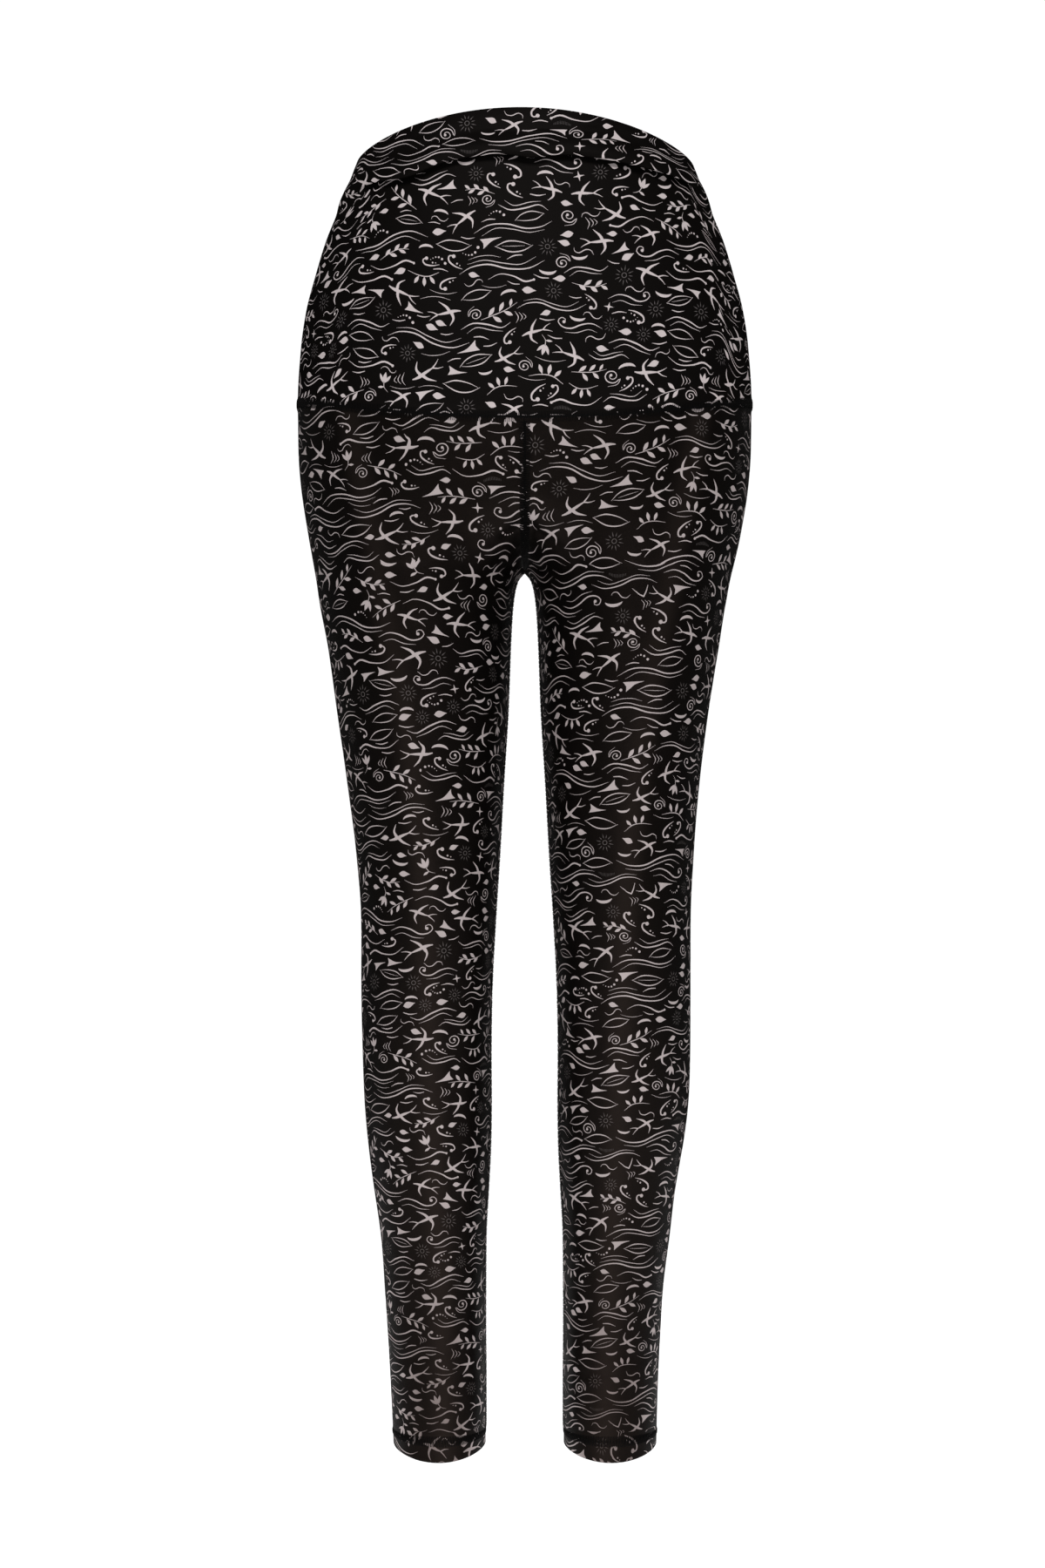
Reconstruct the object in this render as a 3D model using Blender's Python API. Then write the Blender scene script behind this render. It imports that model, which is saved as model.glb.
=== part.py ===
"""A pair of leggings with a tall doubled waistband, hollow and filled out as when worn.

Metres, +Z up, the front towards -Y. The origin is on the axis of the body, level with the
waistband's top edge at the sides, where the wearer's waist holds it up. Left and right are the
wearer's, so the right leg is on -X. The sizes below are in millimetres.
"""

import math

import bmesh
import bpy
import numpy as np

MM = 0.001

# Cloth
LEG_WALL = 1.2
BAND_WALL = 2.4  # two layers
HEM_WALL = 2.4  # the leg's cloth turned up inside
SEAM_GAP = 0.3

# Edges, as heights at the front, the sides and the back
TOP_EDGE = (25.5, 0.0, 14.0)
TOP_TILT = 1.7  # the right side stands higher and the left one lower
WAIST_SEAM = (-211.5, -190.5, -178.0)
HEM_EDGE = (-1020.5, -1013.0, -1013.5)

# The centre seam, which bends under the body in two quarter ellipses that meet at the crotch
CROTCH = -320.0
FRONT_BEND = 62.0
BACK_BEND = 80.0

# The body's outline at each height: half its width, its reach to the front and the back, and
# how much fuller it is than an ellipse between them
HIPS = (
    # height, half width, front, back, fullness
    (40.0, 121.0, 92.0, 78.0, 0.06),
    (20.0, 127.0, 95.0, 80.0, 0.06),
    (0.0, 133.0, 98.0, 82.0, 0.06),
    (-17.0, 139.5, 99.5, 84.0, 0.06),
    (-40.0, 148.5, 101.0, 88.0, 0.06),
    (-62.0, 157.5, 102.5, 93.0, 0.06),
    (-90.0, 166.0, 104.0, 101.0, 0.06),
    (-117.0, 173.0, 105.0, 109.0, 0.07),
    (-145.0, 177.0, 105.5, 116.0, 0.08),
    (-186.0, 179.5, 105.0, 123.0, 0.09),
    (-228.0, 179.0, 103.5, 125.0, 0.11),
    (-255.0, 177.0, 101.0, 123.0, 0.13),
    (-283.0, 173.0, 98.0, 118.0, 0.15),
    (-310.0, 168.0, 95.0, 111.0, 0.17),
    (-338.0, 162.5, 92.0, 103.0, 0.18),
    (-370.0, 157.0, 89.0, 95.0, 0.18),
)

# A leg's outline at each height: its inner and outer side, its reach to the front and the back,
# and how much further out the right leg's outer side lies, and the left one's less far
LEG = (
    # height, inner, outer, front, back, lean
    (-180.0, 0.0, 179.5, 103.0, 121.0, 0.0),
    (-240.0, 0.0, 178.5, 101.0, 121.0, 0.0),
    (-283.0, 0.0, 173.0, 97.5, 116.5, 0.3),
    (-310.0, 0.0, 168.0, 94.0, 109.0, 0.8),
    (-320.0, 0.0, 165.7, 92.8, 106.0, 1.1),
    (-321.0, 2.6, 165.4, 92.7, 105.6, 1.1),
    (-325.0, 5.0, 164.6, 92.3, 104.4, 1.2),
    (-331.0, 7.0, 163.6, 91.6, 102.6, 1.4),
    (-341.0, 8.4, 162.0, 90.4, 99.6, 1.5),
    (-355.0, 9.2, 159.5, 88.8, 95.3, 1.5),
    (-380.0, 11.0, 155.0, 87.0, 89.0, 1.0),
    (-435.0, 13.5, 146.5, 83.3, 77.5, 1.5),
    (-490.0, 17.0, 139.0, 80.0, 69.0, 1.0),
    (-545.0, 20.0, 133.2, 76.0, 62.0, -0.3),
    (-600.0, 23.5, 130.0, 70.0, 55.0, -1.0),
    (-655.0, 26.2, 130.0, 63.0, 51.0, -1.0),
    (-711.0, 27.0, 129.5, 56.5, 56.5, -1.5),
    (-740.0, 26.8, 128.5, 53.0, 60.0, -1.5),
    (-766.0, 27.0, 126.0, 50.0, 60.5, -1.0),
    (-793.0, 28.3, 122.5, 46.5, 59.0, -0.5),
    (-821.0, 29.5, 118.0, 43.0, 56.0, 0.0),
    (-849.0, 31.0, 114.5, 40.0, 52.0, -0.5),
    (-876.0, 31.2, 111.5, 38.0, 48.5, 0.5),
    (-904.0, 31.4, 109.5, 36.0, 46.0, 0.5),
    (-959.0, 31.0, 106.3, 34.5, 44.0, 0.3),
    (-1020.0, 31.0, 104.0, 34.0, 44.0, -0.3),
)
LEG_FULLNESS = 0.05

# The roll of slack cloth under the top edge. The outer side folds under at its lower lip and
# hides a crease; the inner side runs plainly behind it.
ROLL = (
    # drop below the edge, standing out, drop of the inner side
    (0.0, -1.0, 0.0),
    (1.2, 0.2, 1.2),
    (9.0, 1.4, 9.0),
    (17.0, 0.4, 17.0),
    (23.0, 3.2, 22.0),
    (29.0, 6.0, 26.0),
    (34.5, 6.6, 30.0),
    (38.2, 5.2, 33.0),
    (37.6, 3.4, 35.0),
    (34.8, 1.7, 37.0),
    (35.6, 0.3, 39.0),
    (40.0, 0.0, 42.0),
    (46.0, 0.0, 46.0),
)
ROLL_LEVEL_BELOW = 23.0  # the drop from which a point follows the crease up and down
ROLL_STRENGTH = 0.62
ROLL_WAVES = (
    # waves round the waist, strength, rise and fall, turn in degrees
    (1, 0.04, 3.5, 90.0),
    (2, 0.34, 0.0, 0.0),
    (3, 0.05, 1.6, 40.0),
    (5, 0.06, 1.8, 160.0),
)
TOP_ROUNDING = 0.8

# Rows of a leg's grid from the crotch down: heights at the inseam and at the outer side
LEG_STATIONS = (
    # row, inner, outer
    (0.0, -320.0, -356.0),
    (1.0, -322.5, -367.0),
    (2.0, -328.0, -379.0),
    (3.0, -337.0, -391.0),
    (5.0, -363.0, -418.0),
    (8.0, -411.0, -462.0),
    (12.0, -500.0, -535.0),
    (16.0, -610.0, -628.0),
    (20.0, -740.0, -745.0),
    (24.0, -885.0, -885.0),
    (27.0, -996.5, -996.5),
)
HEM_ROWS = (
    # height above the edge, standing out, wall
    (14.7, 0.0, HEM_WALL),
    (1.0, 0.0, HEM_WALL),
    (0.0, -0.7, 1.0),
)
LEG_AROUND = 28
STRAIGHT_ROWS = 4
BEND_ROWS = 9
BAND_ROWS = 9
CROWDING = 0.5  # of the columns, towards the crotch and the inseam
HIP_CROWDING = 0.57  # more of it on the hips' outline, so that its columns match a leg's
SMOOTHING_ROUNDS = 12
SMOOTHING_REACH = 62.0

# Colours
CLOTH_BLACK = (0.008, 0.006, 0.006, 1.0)
CLOTH_WARM_BLACK = (0.011, 0.008, 0.007, 1.0)

FULL_TURN = 2 * math.pi


def smooth_table(table):
    """A curve through a table's rows that never overshoots: from a row's key to its columns."""
    rows = np.array(sorted(table))
    at = rows[:, 0]
    values = rows[:, 1:]
    steps = np.diff(at)[:, None]
    grades = np.diff(values, axis=0) / steps
    above = grades[1:]
    below = grades[:-1]
    level = above * below <= 0
    middle = np.where(level, 0.0, 2 * above * below / np.where(level, 1.0, above + below))
    slopes = np.concatenate([grades[:1], middle, grades[-1:]])

    def read(key):
        key = np.clip(key, at[0], at[-1])
        low = np.clip(np.searchsorted(at, key, side="right") - 1, 0, len(steps) - 1)
        step = steps[low]
        t = (key - at[low])[..., None] / step
        start = (1 + 2 * t) * (1 - t) ** 2 * values[low] + t * (1 - t) ** 2 * step * slopes[low]
        end = t**2 * (3 - 2 * t) * values[low + 1] - t**2 * (1 - t) * step * slopes[low + 1]
        return np.moveaxis(start + end, -1, 0)

    return read


hips_at = smooth_table(HIPS)
leg_at = smooth_table(LEG)
station_at = smooth_table(LEG_STATIONS)


def edge_height(levels, turn):
    """The height of an edge that runs round the body, at an angle from the front."""
    front, side, back = levels
    return side + (np.where(np.cos(turn) > 0, front, back) - side) * np.cos(turn) ** 2


def hip_outline(turn, height, out=0.0):
    """Points of the body's outline at angles from the front, on +X up to half a turn."""
    half_width, front, back, fullness = hips_at(height)
    side = np.sin(turn)
    ahead = np.cos(turn)
    depth = np.where(ahead > 0, front, back)
    x = half_width * side * (1 + fullness * ahead**2)
    y = -depth * ahead * (1 + fullness * side**2)
    away = np.stack([side / half_width, -ahead / depth], axis=-1)
    away /= np.linalg.norm(away, axis=-1, keepdims=True)
    return np.stack([x + out * away[..., 0], y + out * away[..., 1], height], axis=-1)


def leg_outline(turn, height, lean_side):
    """Points of a leg's outline at angles from its inner side, by way of the front."""
    inner, outer, front, back, lean = leg_at(height)
    outer = outer + lean_side * lean
    inward = np.cos(turn)
    ahead = np.sin(turn)
    half_width = (outer - inner) / 2
    half_depth = (front + back) / 2
    x = (inner + outer) / 2 - half_width * inward * (1 + LEG_FULLNESS * ahead**2)
    y = (back - front) / 2 - half_depth * ahead * (1 + LEG_FULLNESS * inward**2)
    return np.stack([x, y, height], axis=-1)


def crowded(share, crowding):
    """Shares of the way round, moved closer to both ends by this much."""
    return share - crowding / FULL_TURN * np.sin(FULL_TURN * share)


def seam_rows():
    """The rows of a leg above the crotch: heights of each row's ends and middle, and the share
    of the hips' outline at its ends and middle, which fades as the seam bends under the body."""
    rows = []
    bend_starts = (CROTCH + FRONT_BEND, CROTCH + BACK_BEND)
    count = STRAIGHT_ROWS + BEND_ROWS
    outer_end = LEG_STATIONS[0][2]
    for row in range(count):
        outer = WAIST_SEAM[1] + (outer_end - WAIST_SEAM[1]) * row / count
        if row < STRAIGHT_ROWS:
            share = row / STRAIGHT_ROWS
            front = WAIST_SEAM[0] + (bend_starts[0] - WAIST_SEAM[0]) * share
            back = WAIST_SEAM[2] + (bend_starts[1] - WAIST_SEAM[2]) * share
            rows.append(((front, outer, back), (1.0, 1.0)))
        else:
            passed = (row - STRAIGHT_ROWS) / BEND_ROWS
            bend = math.pi / 2 * passed
            front = CROTCH + FRONT_BEND * (1 - math.sin(bend))
            back = CROTCH + BACK_BEND * (1 - math.sin(bend))
            rows.append(((front, outer, back), (math.cos(bend), 1 - passed**2 * (3 - 2 * passed))))
    return rows


def leg_surface(lean_side):
    """The outer side of a leg on +X: rows from the waist seam down, columns from the front of
    the centre seam, or the inseam, round by the outer side to the back."""
    rows = []
    upper = seam_rows()
    even = np.linspace(0, 1, LEG_AROUND + 1)
    for index, (levels, (end_share, middle_share)) in enumerate(upper):
        share = crowded(even, CROWDING * index / len(upper))
        match = min(1.0, index / (STRAIGHT_ROWS + 2))
        hip_turn = math.pi * crowded(share, HIP_CROWDING * match**2 * (3 - 2 * match))
        height = edge_height(levels, hip_turn)
        if index == 0:
            height = height - SEAM_GAP / 2
        hip = hip_outline(hip_turn, height)
        leg = leg_outline(FULL_TURN * share, height, lean_side)
        leg[:, 0] = np.maximum(leg[:, 0], 0)
        near_ends = (np.cos(math.pi * share) ** 4)[:, None]
        hip_share = middle_share + (end_share - middle_share) * near_ends
        rows.append(hip_share * hip + (1 - hip_share) * leg)
    last = int(LEG_STATIONS[-1][0])
    for station in range(last + 1):
        inner, outer = station_at(float(station))
        share = crowded(even, CROWDING * (1 - 0.6 * station / last))
        height = edge_height((inner, outer, inner), math.pi * share)
        rows.append(leg_outline(FULL_TURN * share, height, lean_side))
    for above, out, _ in HEM_ROWS:
        turn = FULL_TURN * share
        height = edge_height(HEM_EDGE, turn - math.pi / 2) + above
        line = leg_outline(turn, height, lean_side)
        middle = line[:-1].mean(axis=0) * (1, 1, 0)
        away = (line - middle) * (1, 1, 0)
        rows.append(line + out * away / np.linalg.norm(away, axis=1, keepdims=True))
    return np.array(rows)


def mirrored(points):
    return points * (-1, 1, 1)


def with_neighbours(grid, open_rows):
    """The grid with a column added at each side: the other leg's across the centre seam, and
    the leg's own across the inseam."""
    before = grid[:, -2].copy()
    after = grid[:, 1].copy()
    before[:open_rows] = mirrored(grid[:open_rows, 1])
    after[:open_rows] = mirrored(grid[:open_rows, -2])
    return np.concatenate([before[:, None], grid, after[:, None]], axis=1)


def smoothed_crotch(grid, open_rows):
    """Evens out the saddle round the crotch, where both legs and both bends meet."""
    grid = grid.copy()
    crotch = grid[open_rows, 0].copy()
    away = np.linalg.norm(grid - crotch, axis=-1)
    pull = 0.5 * np.exp(-((away / SMOOTHING_REACH) ** 2))[1:-1, :, None]
    for _ in range(SMOOTHING_ROUNDS):
        wide = with_neighbours(grid, open_rows)
        beside = wide[:, :-2] + wide[:, 2:]
        mean = (beside[1:-1] + grid[:-2] + grid[2:]) / 4
        grid[1:-1] += pull * (mean - grid[1:-1])
        grid[: open_rows + 1, (0, -1), 0] = 0
        grid[open_rows:, 0] = (grid[open_rows:, 0] + grid[open_rows:, -1]) / 2
        grid[open_rows:, -1] = grid[open_rows:, 0]
    return grid


def outward(grid, open_rows):
    """Unit vectors that point out of the cloth at each point of a leg's grid."""
    wide = with_neighbours(grid, open_rows)
    along = wide[:, 2:] - wide[:, :-2]
    down = np.gradient(grid, axis=0)
    # At the crotch both ends of the row meet, so the seam's own run stands for the way down.
    run = grid[open_rows - 1, -1] - grid[open_rows - 1, 0]
    down[open_rows, (0, -1)] = run * (0, 1, 0)
    along[open_rows, (0, -1)] = (1, 0, 0)
    normals = np.cross(along, down)
    normals[open_rows, (0, -1)] = (0, 0, -1)
    normals[: open_rows + 1, (0, -1), 0] = 0
    normals[0, :, 2] = 0
    normals[-len(HEM_ROWS) :, :, 2] = 0
    middle = (grid[:, :1] + grid[:, LEG_AROUND // 2, None]) / 2
    inside_out = ((grid - middle) * normals)[len(grid) // 2].sum() < 0
    normals /= np.linalg.norm(normals, axis=-1, keepdims=True)
    return -normals if inside_out else normals


def cloth(name, outer, inner, open_rows, colour):
    """One piece of cloth: a closed wall between two grids of points. Rows after the open ones
    are rings, whose last column is their first."""
    mesh = bmesh.new()

    def layer(grid):
        lines = []
        for index, row in enumerate(grid):
            line = [mesh.verts.new(point * MM) for point in row[:-1]]
            line.append(mesh.verts.new(row[-1] * MM) if index < open_rows else line[0])
            lines.append(line)
        return lines

    skin = layer(outer)
    lining = layer(inner)
    last = len(skin) - 1
    for upper, lower in zip(range(last), range(1, last + 1)):
        for left, right in zip(range(len(outer[0]) - 1), range(1, len(outer[0]))):
            for side in (skin, lining):
                corners = (side[upper][left], side[upper][right], side[lower][right], side[lower][left])
                mesh.faces.new(corners)
    for row in (0, last):
        for left, right in zip(range(len(outer[0]) - 1), range(1, len(outer[0]))):
            mesh.faces.new((skin[row][left], skin[row][right], lining[row][right], lining[row][left]))
    for column in (0, -1):
        for row in range(open_rows):
            below = row + 1
            corners = (skin[row][column], skin[below][column], lining[below][column], lining[row][column])
            mesh.faces.new(corners)
    bmesh.ops.recalc_face_normals(mesh, faces=mesh.faces)
    data = bpy.data.meshes.new(name)
    mesh.to_mesh(data)
    mesh.free()
    data.shade_smooth()
    data.set_sharp_from_angle(angle=math.radians(50))
    piece = bpy.data.objects.new(name, data)
    bpy.context.scene.collection.objects.link(piece)
    data.materials.append(fabric(name + "_cloth", colour))
    return piece


def fabric(name, colour):
    material = bpy.data.materials.new(name)
    material.use_nodes = True
    shader = material.node_tree.nodes["Principled BSDF"]
    shader.inputs["Base Color"].default_value = colour
    shader.inputs["Roughness"].default_value = 0.75
    shader.inputs["Metallic"].default_value = 0.0
    shader.inputs["Sheen Weight"].default_value = 0.3
    return material


def leg(name, side):
    """A leg: one panel from the centre seam round to the centre seam, closed at the inseam. Its
    side is 1 for the wearer's left, on +X, and -1 for the right."""
    open_rows = STRAIGHT_ROWS + BEND_ROWS
    outer = smoothed_crotch(leg_surface(-side), open_rows)
    walls = np.full(len(outer), LEG_WALL)
    walls[-len(HEM_ROWS) :] = [row[2] for row in HEM_ROWS]
    inner = outer - walls[:, None, None] * outward(outer, open_rows)
    apart = np.array((SEAM_GAP / 2, 0, 0))
    for grid in (outer, inner):
        grid[: open_rows + 1, (0, -1)] += apart
        grid[:] *= (side, 1, 1)
    return cloth(name, outer, inner, open_rows, CLOTH_WARM_BLACK)


def roll_shape(turn):
    """The roll's strength at an angle from the front, and how far its crease lies lower."""
    strength = np.full_like(turn, ROLL_STRENGTH)
    lower = np.zeros_like(turn)
    for waves, more, fall, start in ROLL_WAVES:
        wave = np.cos(waves * turn + math.radians(start))
        strength += more * wave
        lower += fall * wave
    return strength, lower


def waistband():
    """The doubled waistband: one tube, with a roll of slack cloth under its top edge."""
    turn = np.linspace(0, FULL_TURN, 2 * LEG_AROUND + 1)
    strength, lower = roll_shape(turn)
    top = edge_height(TOP_EDGE, turn) - TOP_TILT * np.sin(turn)
    seam = edge_height(WAIST_SEAM, turn) + SEAM_GAP / 2
    outer = []
    inner = []
    for drop, out, inner_drop in ROLL:
        follow = min(1.0, drop / ROLL_LEVEL_BELOW)
        outer.append(hip_outline(turn, top - drop - lower * follow, out * strength))
        inset = BAND_WALL - (TOP_ROUNDING if drop == 0 else 0)
        inner.append(hip_outline(turn, top - inner_drop - lower * follow, -inset))
    start = outer[-1][:, 2]
    for row in range(1, BAND_ROWS + 1):
        height = start + (seam - start) * row / BAND_ROWS
        outer.append(hip_outline(turn, height))
        inner.append(hip_outline(turn, height, -BAND_WALL))
    return cloth("waistband", np.array(outer), np.array(inner), 0, CLOTH_BLACK)


def main():
    for existing in list(bpy.data.objects):
        bpy.data.objects.remove(existing)
    garment = bpy.data.objects.new("leggings", None)
    bpy.context.scene.collection.objects.link(garment)
    for piece in (waistband(), leg("leg_left", 1), leg("leg_right", -1)):
        piece.parent = garment


main()
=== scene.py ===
"""The look of the leggings: printed cloth, seams, hems, light and camera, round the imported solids.

Lengths are in millimetres up to the point where a mesh is made. A piece of cloth is drafted flat,
as a sheet with its print, and laid on its place on the body. A place on a sheet has a level, which
runs down the cloth, and a share, which runs from -1 to 1 round the body with 0 at the front.
"""

import math
import bpy
import numpy as np
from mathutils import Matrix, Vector
from mathutils.geometry import delaunay_2d_cdt


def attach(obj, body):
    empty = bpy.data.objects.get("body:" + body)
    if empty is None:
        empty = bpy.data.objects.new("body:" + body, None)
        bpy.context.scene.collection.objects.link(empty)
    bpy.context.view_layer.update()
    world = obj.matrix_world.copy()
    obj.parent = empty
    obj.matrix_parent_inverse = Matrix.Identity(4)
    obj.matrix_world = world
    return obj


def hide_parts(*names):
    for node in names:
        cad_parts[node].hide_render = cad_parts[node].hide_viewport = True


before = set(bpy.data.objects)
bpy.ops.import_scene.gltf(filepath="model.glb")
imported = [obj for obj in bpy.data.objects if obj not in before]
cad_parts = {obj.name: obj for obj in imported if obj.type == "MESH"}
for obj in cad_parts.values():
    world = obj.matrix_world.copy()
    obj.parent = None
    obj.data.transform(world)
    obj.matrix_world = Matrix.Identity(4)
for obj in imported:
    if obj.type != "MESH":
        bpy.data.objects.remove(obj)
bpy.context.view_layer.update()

MM = 0.001
FULL_TURN = 2 * math.pi

# ---------------------------------------------------------------- the solids' own sizes

TOP_EDGE = (25.5, 0.0, 14.0)
TOP_TILT = 1.7
WAIST_SEAM = (-211.5, -190.5, -178.0)
HEM_EDGE = (-1020.5, -1013.0, -1013.5)
CROTCH = -320.0
FRONT_BEND = 62.0
BACK_BEND = 80.0
BAND_WALL = 2.4
HIPS = (
    # height, half width, front, back, fullness
    (40, 121, 92, 78, 0.06),
    (20, 127, 95, 80, 0.06),
    (0, 133, 98, 82, 0.06),
    (-17, 139.5, 99.5, 84, 0.06),
    (-40, 148.5, 101, 88, 0.06),
    (-62, 157.5, 102.5, 93, 0.06),
    (-90, 166, 104, 101, 0.06),
    (-117, 173, 105, 109, 0.07),
    (-145, 177, 105.5, 116, 0.08),
    (-186, 179.5, 105, 123, 0.09),
    (-228, 179, 103.5, 125, 0.11),
    (-255, 177, 101, 123, 0.13),
    (-283, 173, 98, 118, 0.15),
    (-310, 168, 95, 111, 0.17),
    (-338, 162.5, 92, 103, 0.18),
    (-370, 157, 89, 95, 0.18),
)
LEG = (
    # height, inner, outer, front, back, lean
    (-180, 0, 179.5, 103, 121, 0),
    (-240, 0, 178.5, 101, 121, 0),
    (-283, 0, 173, 97.5, 116.5, 0.3),
    (-310, 0, 168, 94, 109, 0.8),
    (-320, 0, 165.7, 92.8, 106, 1.1),
    (-321, 2.6, 165.4, 92.7, 105.6, 1.1),
    (-325, 5, 164.6, 92.3, 104.4, 1.2),
    (-331, 7, 163.6, 91.6, 102.6, 1.4),
    (-341, 8.4, 162, 90.4, 99.6, 1.5),
    (-355, 9.2, 159.5, 88.8, 95.3, 1.5),
    (-380, 11, 155, 87, 89, 1),
    (-435, 13.5, 146.5, 83.3, 77.5, 1.5),
    (-490, 17, 139, 80, 69, 1),
    (-545, 20, 133.2, 76, 62, -0.3),
    (-600, 23.5, 130, 70, 55, -1),
    (-655, 26.2, 130, 63, 51, -1),
    (-711, 27, 129.5, 56.5, 56.5, -1.5),
    (-740, 26.8, 128.5, 53, 60, -1.5),
    (-766, 27, 126, 50, 60.5, -1),
    (-793, 28.3, 122.5, 46.5, 59, -0.5),
    (-821, 29.5, 118, 43, 56, 0),
    (-849, 31, 114.5, 40, 52, -0.5),
    (-876, 31.2, 111.5, 38, 48.5, 0.5),
    (-904, 31.4, 109.5, 36, 46, 0.5),
    (-959, 31, 106.3, 34.5, 44, 0.3),
    (-1020, 31, 104, 34, 44, -0.3),
)
LEG_FULLNESS = 0.05
LEG_STATIONS = (
    # row, inner, outer
    (0, -320, -356),
    (1, -322.5, -367),
    (2, -328, -379),
    (3, -337, -391),
    (5, -363, -418),
    (8, -411, -462),
    (12, -500, -535),
    (16, -610, -628),
    (20, -740, -745),
    (24, -885, -885),
    (27, -996.5, -996.5),
)
LEG_AROUND = 28
LEG_COLUMNS = np.linspace(0, 1, LEG_AROUND + 1)
ROWS_FINER = 5
COLUMNS_FINER = 6
STRAIGHT_ROWS = 4
BEND_ROWS = 9
OPEN_ROWS = STRAIGHT_ROWS + BEND_ROWS
CROWDING = 0.5  # how much closer together the columns are at the centre seam and the inseam
CROWDING_LOST = 0.6  # the share of it that is gone at the ankle
HIP_CROWDING = 0.57
SMOOTHING_ROUNDS = 12
SMOOTHING_REACH = 62.0
SMOOTHING_PULL = 0.5
MIRROR = np.array((-1, 1, 1))

# ---------------------------------------------------------------- the cloth's own sizes

LEG_WALL = 1.1  # between a leg's face and its reverse
SEAM_GAP = 0.3
SEAM_HALF_WIDTH = 4.0
SEAM_LIFT = 0.55
SEAM_SLOPE = 3.0  # the width over which the lifted cloth beside a seam comes down
SHEET_TOP = -150.0  # a leg's sheet is drafted up to here and trimmed at the waist seam
ABOVE_WAIST = (SHEET_TOP, SHEET_TOP - 15)  # the heights of a leg's rows above that seam
CROTCH_STEPS = np.array((12, 9, 7, 5.5, 4.2, 3.2, 2.4, 1.8, 1.3, 0.9, 0.6, 0.35, 0.15))
NEAR_CROTCH = -CROTCH - CROTCH_STEPS  # levels that crowd together down to the crotch
LEG_PRINT_SIZE = ((150, 330, 620, 1000), (1.0, 1.0, 0.92, 0.84))  # at levels of a leg
HEM_START = -1000.0  # from here down the levels follow the hem's edge
ROWS_TO_FOLD = 8
HEM_FOLD = (
    # height above the edge, standing out
    (4, 0),
    (1.6, 0),
    (0.7, -0.15),
    (0.15, -0.6),
    (0, -1.1),
    (0.15, -1.6),
    (0.7, -2.05),
    (1.8, -2.2),
    (6, -2.2),
    (13, -2.2),
    (20, -2.2),
)
HEM_STITCH_ABOVE = 13.0
HEM_STITCH_HALF = 2.7
REVERSE_END = 1009.0  # the level where a leg's reverse ends, inside its hem
LEG_PLACES = 321  # how many places a leg's sheet has across
BAND_PLACES = 401
LEVEL_STEP = 2.0
FINE_STEP = 0.5  # where the cloth folds

# The waistband's outer side from its top fold down, over the roll of slack cloth. Where the roll
# is full its lip hides a crease, and where it fades the cloth runs down plainly.
ROLL_PROFILE = (
    # drop where full, drop where faded, standing out
    (3, 3, 0.25),
    (9, 9, 0.9),
    (15.5, 15.5, 0.5),
    (20, 20, 1.6),
    (24.5, 24.5, 3.8),
    (29, 29, 5.7),
    (33.5, 33, 6.5),
    (36.8, 36.2, 6.1),
    (38.4, 38.6, 4.9),
    (38, 40.2, 3.6),
    (35.8, 41.8, 2.5),
    (33.2, 43.4, 1.6),
    (32.4, 45, 0.8),
    (35.4, 46.8, 0.3),
    (40.5, 49, 0.05),
    (47, 52, 0),
    (56, 57, 0),
)
ROLL_LEVEL_BELOW = 23.0
ROLL_END = 50.0  # from this drop on, the lip's own drop moves nothing
ROLL_FULLNESS = 1.3
ROLL_FOLDS = (0.45, 0.4)  # the fullness where its lip starts to fold, and how much more it takes
LIP_DROP = 38.4
BAND_TURNS = 361  # how many lines down the waistband are drafted
INNER_ROWS = 30
OUTER_ROWS = 34
BELOW_SEAM = 60.0  # how far past its seam the waistband is drafted
BAND_ROWS_FINER = 8
TOP_FOLD = (
    # drop, standing out
    (1.2, 0),
    (0.35, -0.5),
    (0, -1.2),
    (0.35, -1.9),
    (1.2, -2.4),
    (4, -2.4),
)
CREASE = (
    # turn from the front in degrees, drop of the lip, fullness of the roll
    (-100, 38, 0.18),
    (-80, 37, 0.22),
    (-54, 38, 0.68),
    (-42, 43, 0.92),
    (-33, 44.5, 1.05),
    (-27, 41, 0.96),
    (-19, 38.5, 0.86),
    (-12, 38, 0.88),
    (-5, 38.6, 1),
    (3, 41, 1.04),
    (8, 38.5, 0.92),
    (17, 36.4, 0.88),
    (27, 35.5, 0.98),
    (36, 34.8, 1.05),
    (46, 33, 1),
    (57, 31.5, 0.8),
    (80, 32.5, 0.20),
    (100, 34, 0.18),
    (125, 38, 0.6),
    (150, 41, 0.92),
    (180, 38, 1.04),
    (205, 42, 0.95),
    (230, 37, 0.66),
    (260, 38, 0.18),
)
CREASE_SAG = 0.004  # how fast a crease bends away from its line
SOFT_CREASES = {
    # share, level, half length, tilt in degrees, half width, depth
    "band": (
        (-0.25, 13, 26, 3, 3.4, 1.1),
        (0.18, 12, 22, -4, 3.2, 0.9),
        (0.05, 22, 30, 2, 2.6, -0.6),
        (0.86, 14, 30, -3, 3.6, 1),
        (-0.8, 13, 24, 4, 3.2, 0.8),
        (-0.33, 62, 34, 9, 4.5, 0.5),
        (0.3, 58, 40, -8, 5, 0.5),
    ),
    "leg": (
        (-0.72, 305, 34, 34, 4.5, 0.9),
        (-0.66, 322, 40, 26, 5, 0.8),
        (-0.78, 286, 26, 42, 4, 0.5),
        (0.66, 352, 52, -14, 6, 1.3),
        (0.74, 334, 38, -24, 5, 0.9),
        (0.8, 362, 30, -8, 5, 0.8),
        (0.93, 655, 34, 6, 5, 0.9),
        (0.86, 668, 40, -5, 5.5, 1.1),
        (-0.97, 683, 30, 8, 5, 0.8),
        (0.1, 938, 36, 5, 5, 0.5),
        (-0.4, 952, 30, -7, 4.5, 0.45),
        (0.6, 945, 34, 5, 5, 0.6),
    ),
}

# ---------------------------------------------------------------- lines and curves


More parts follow.
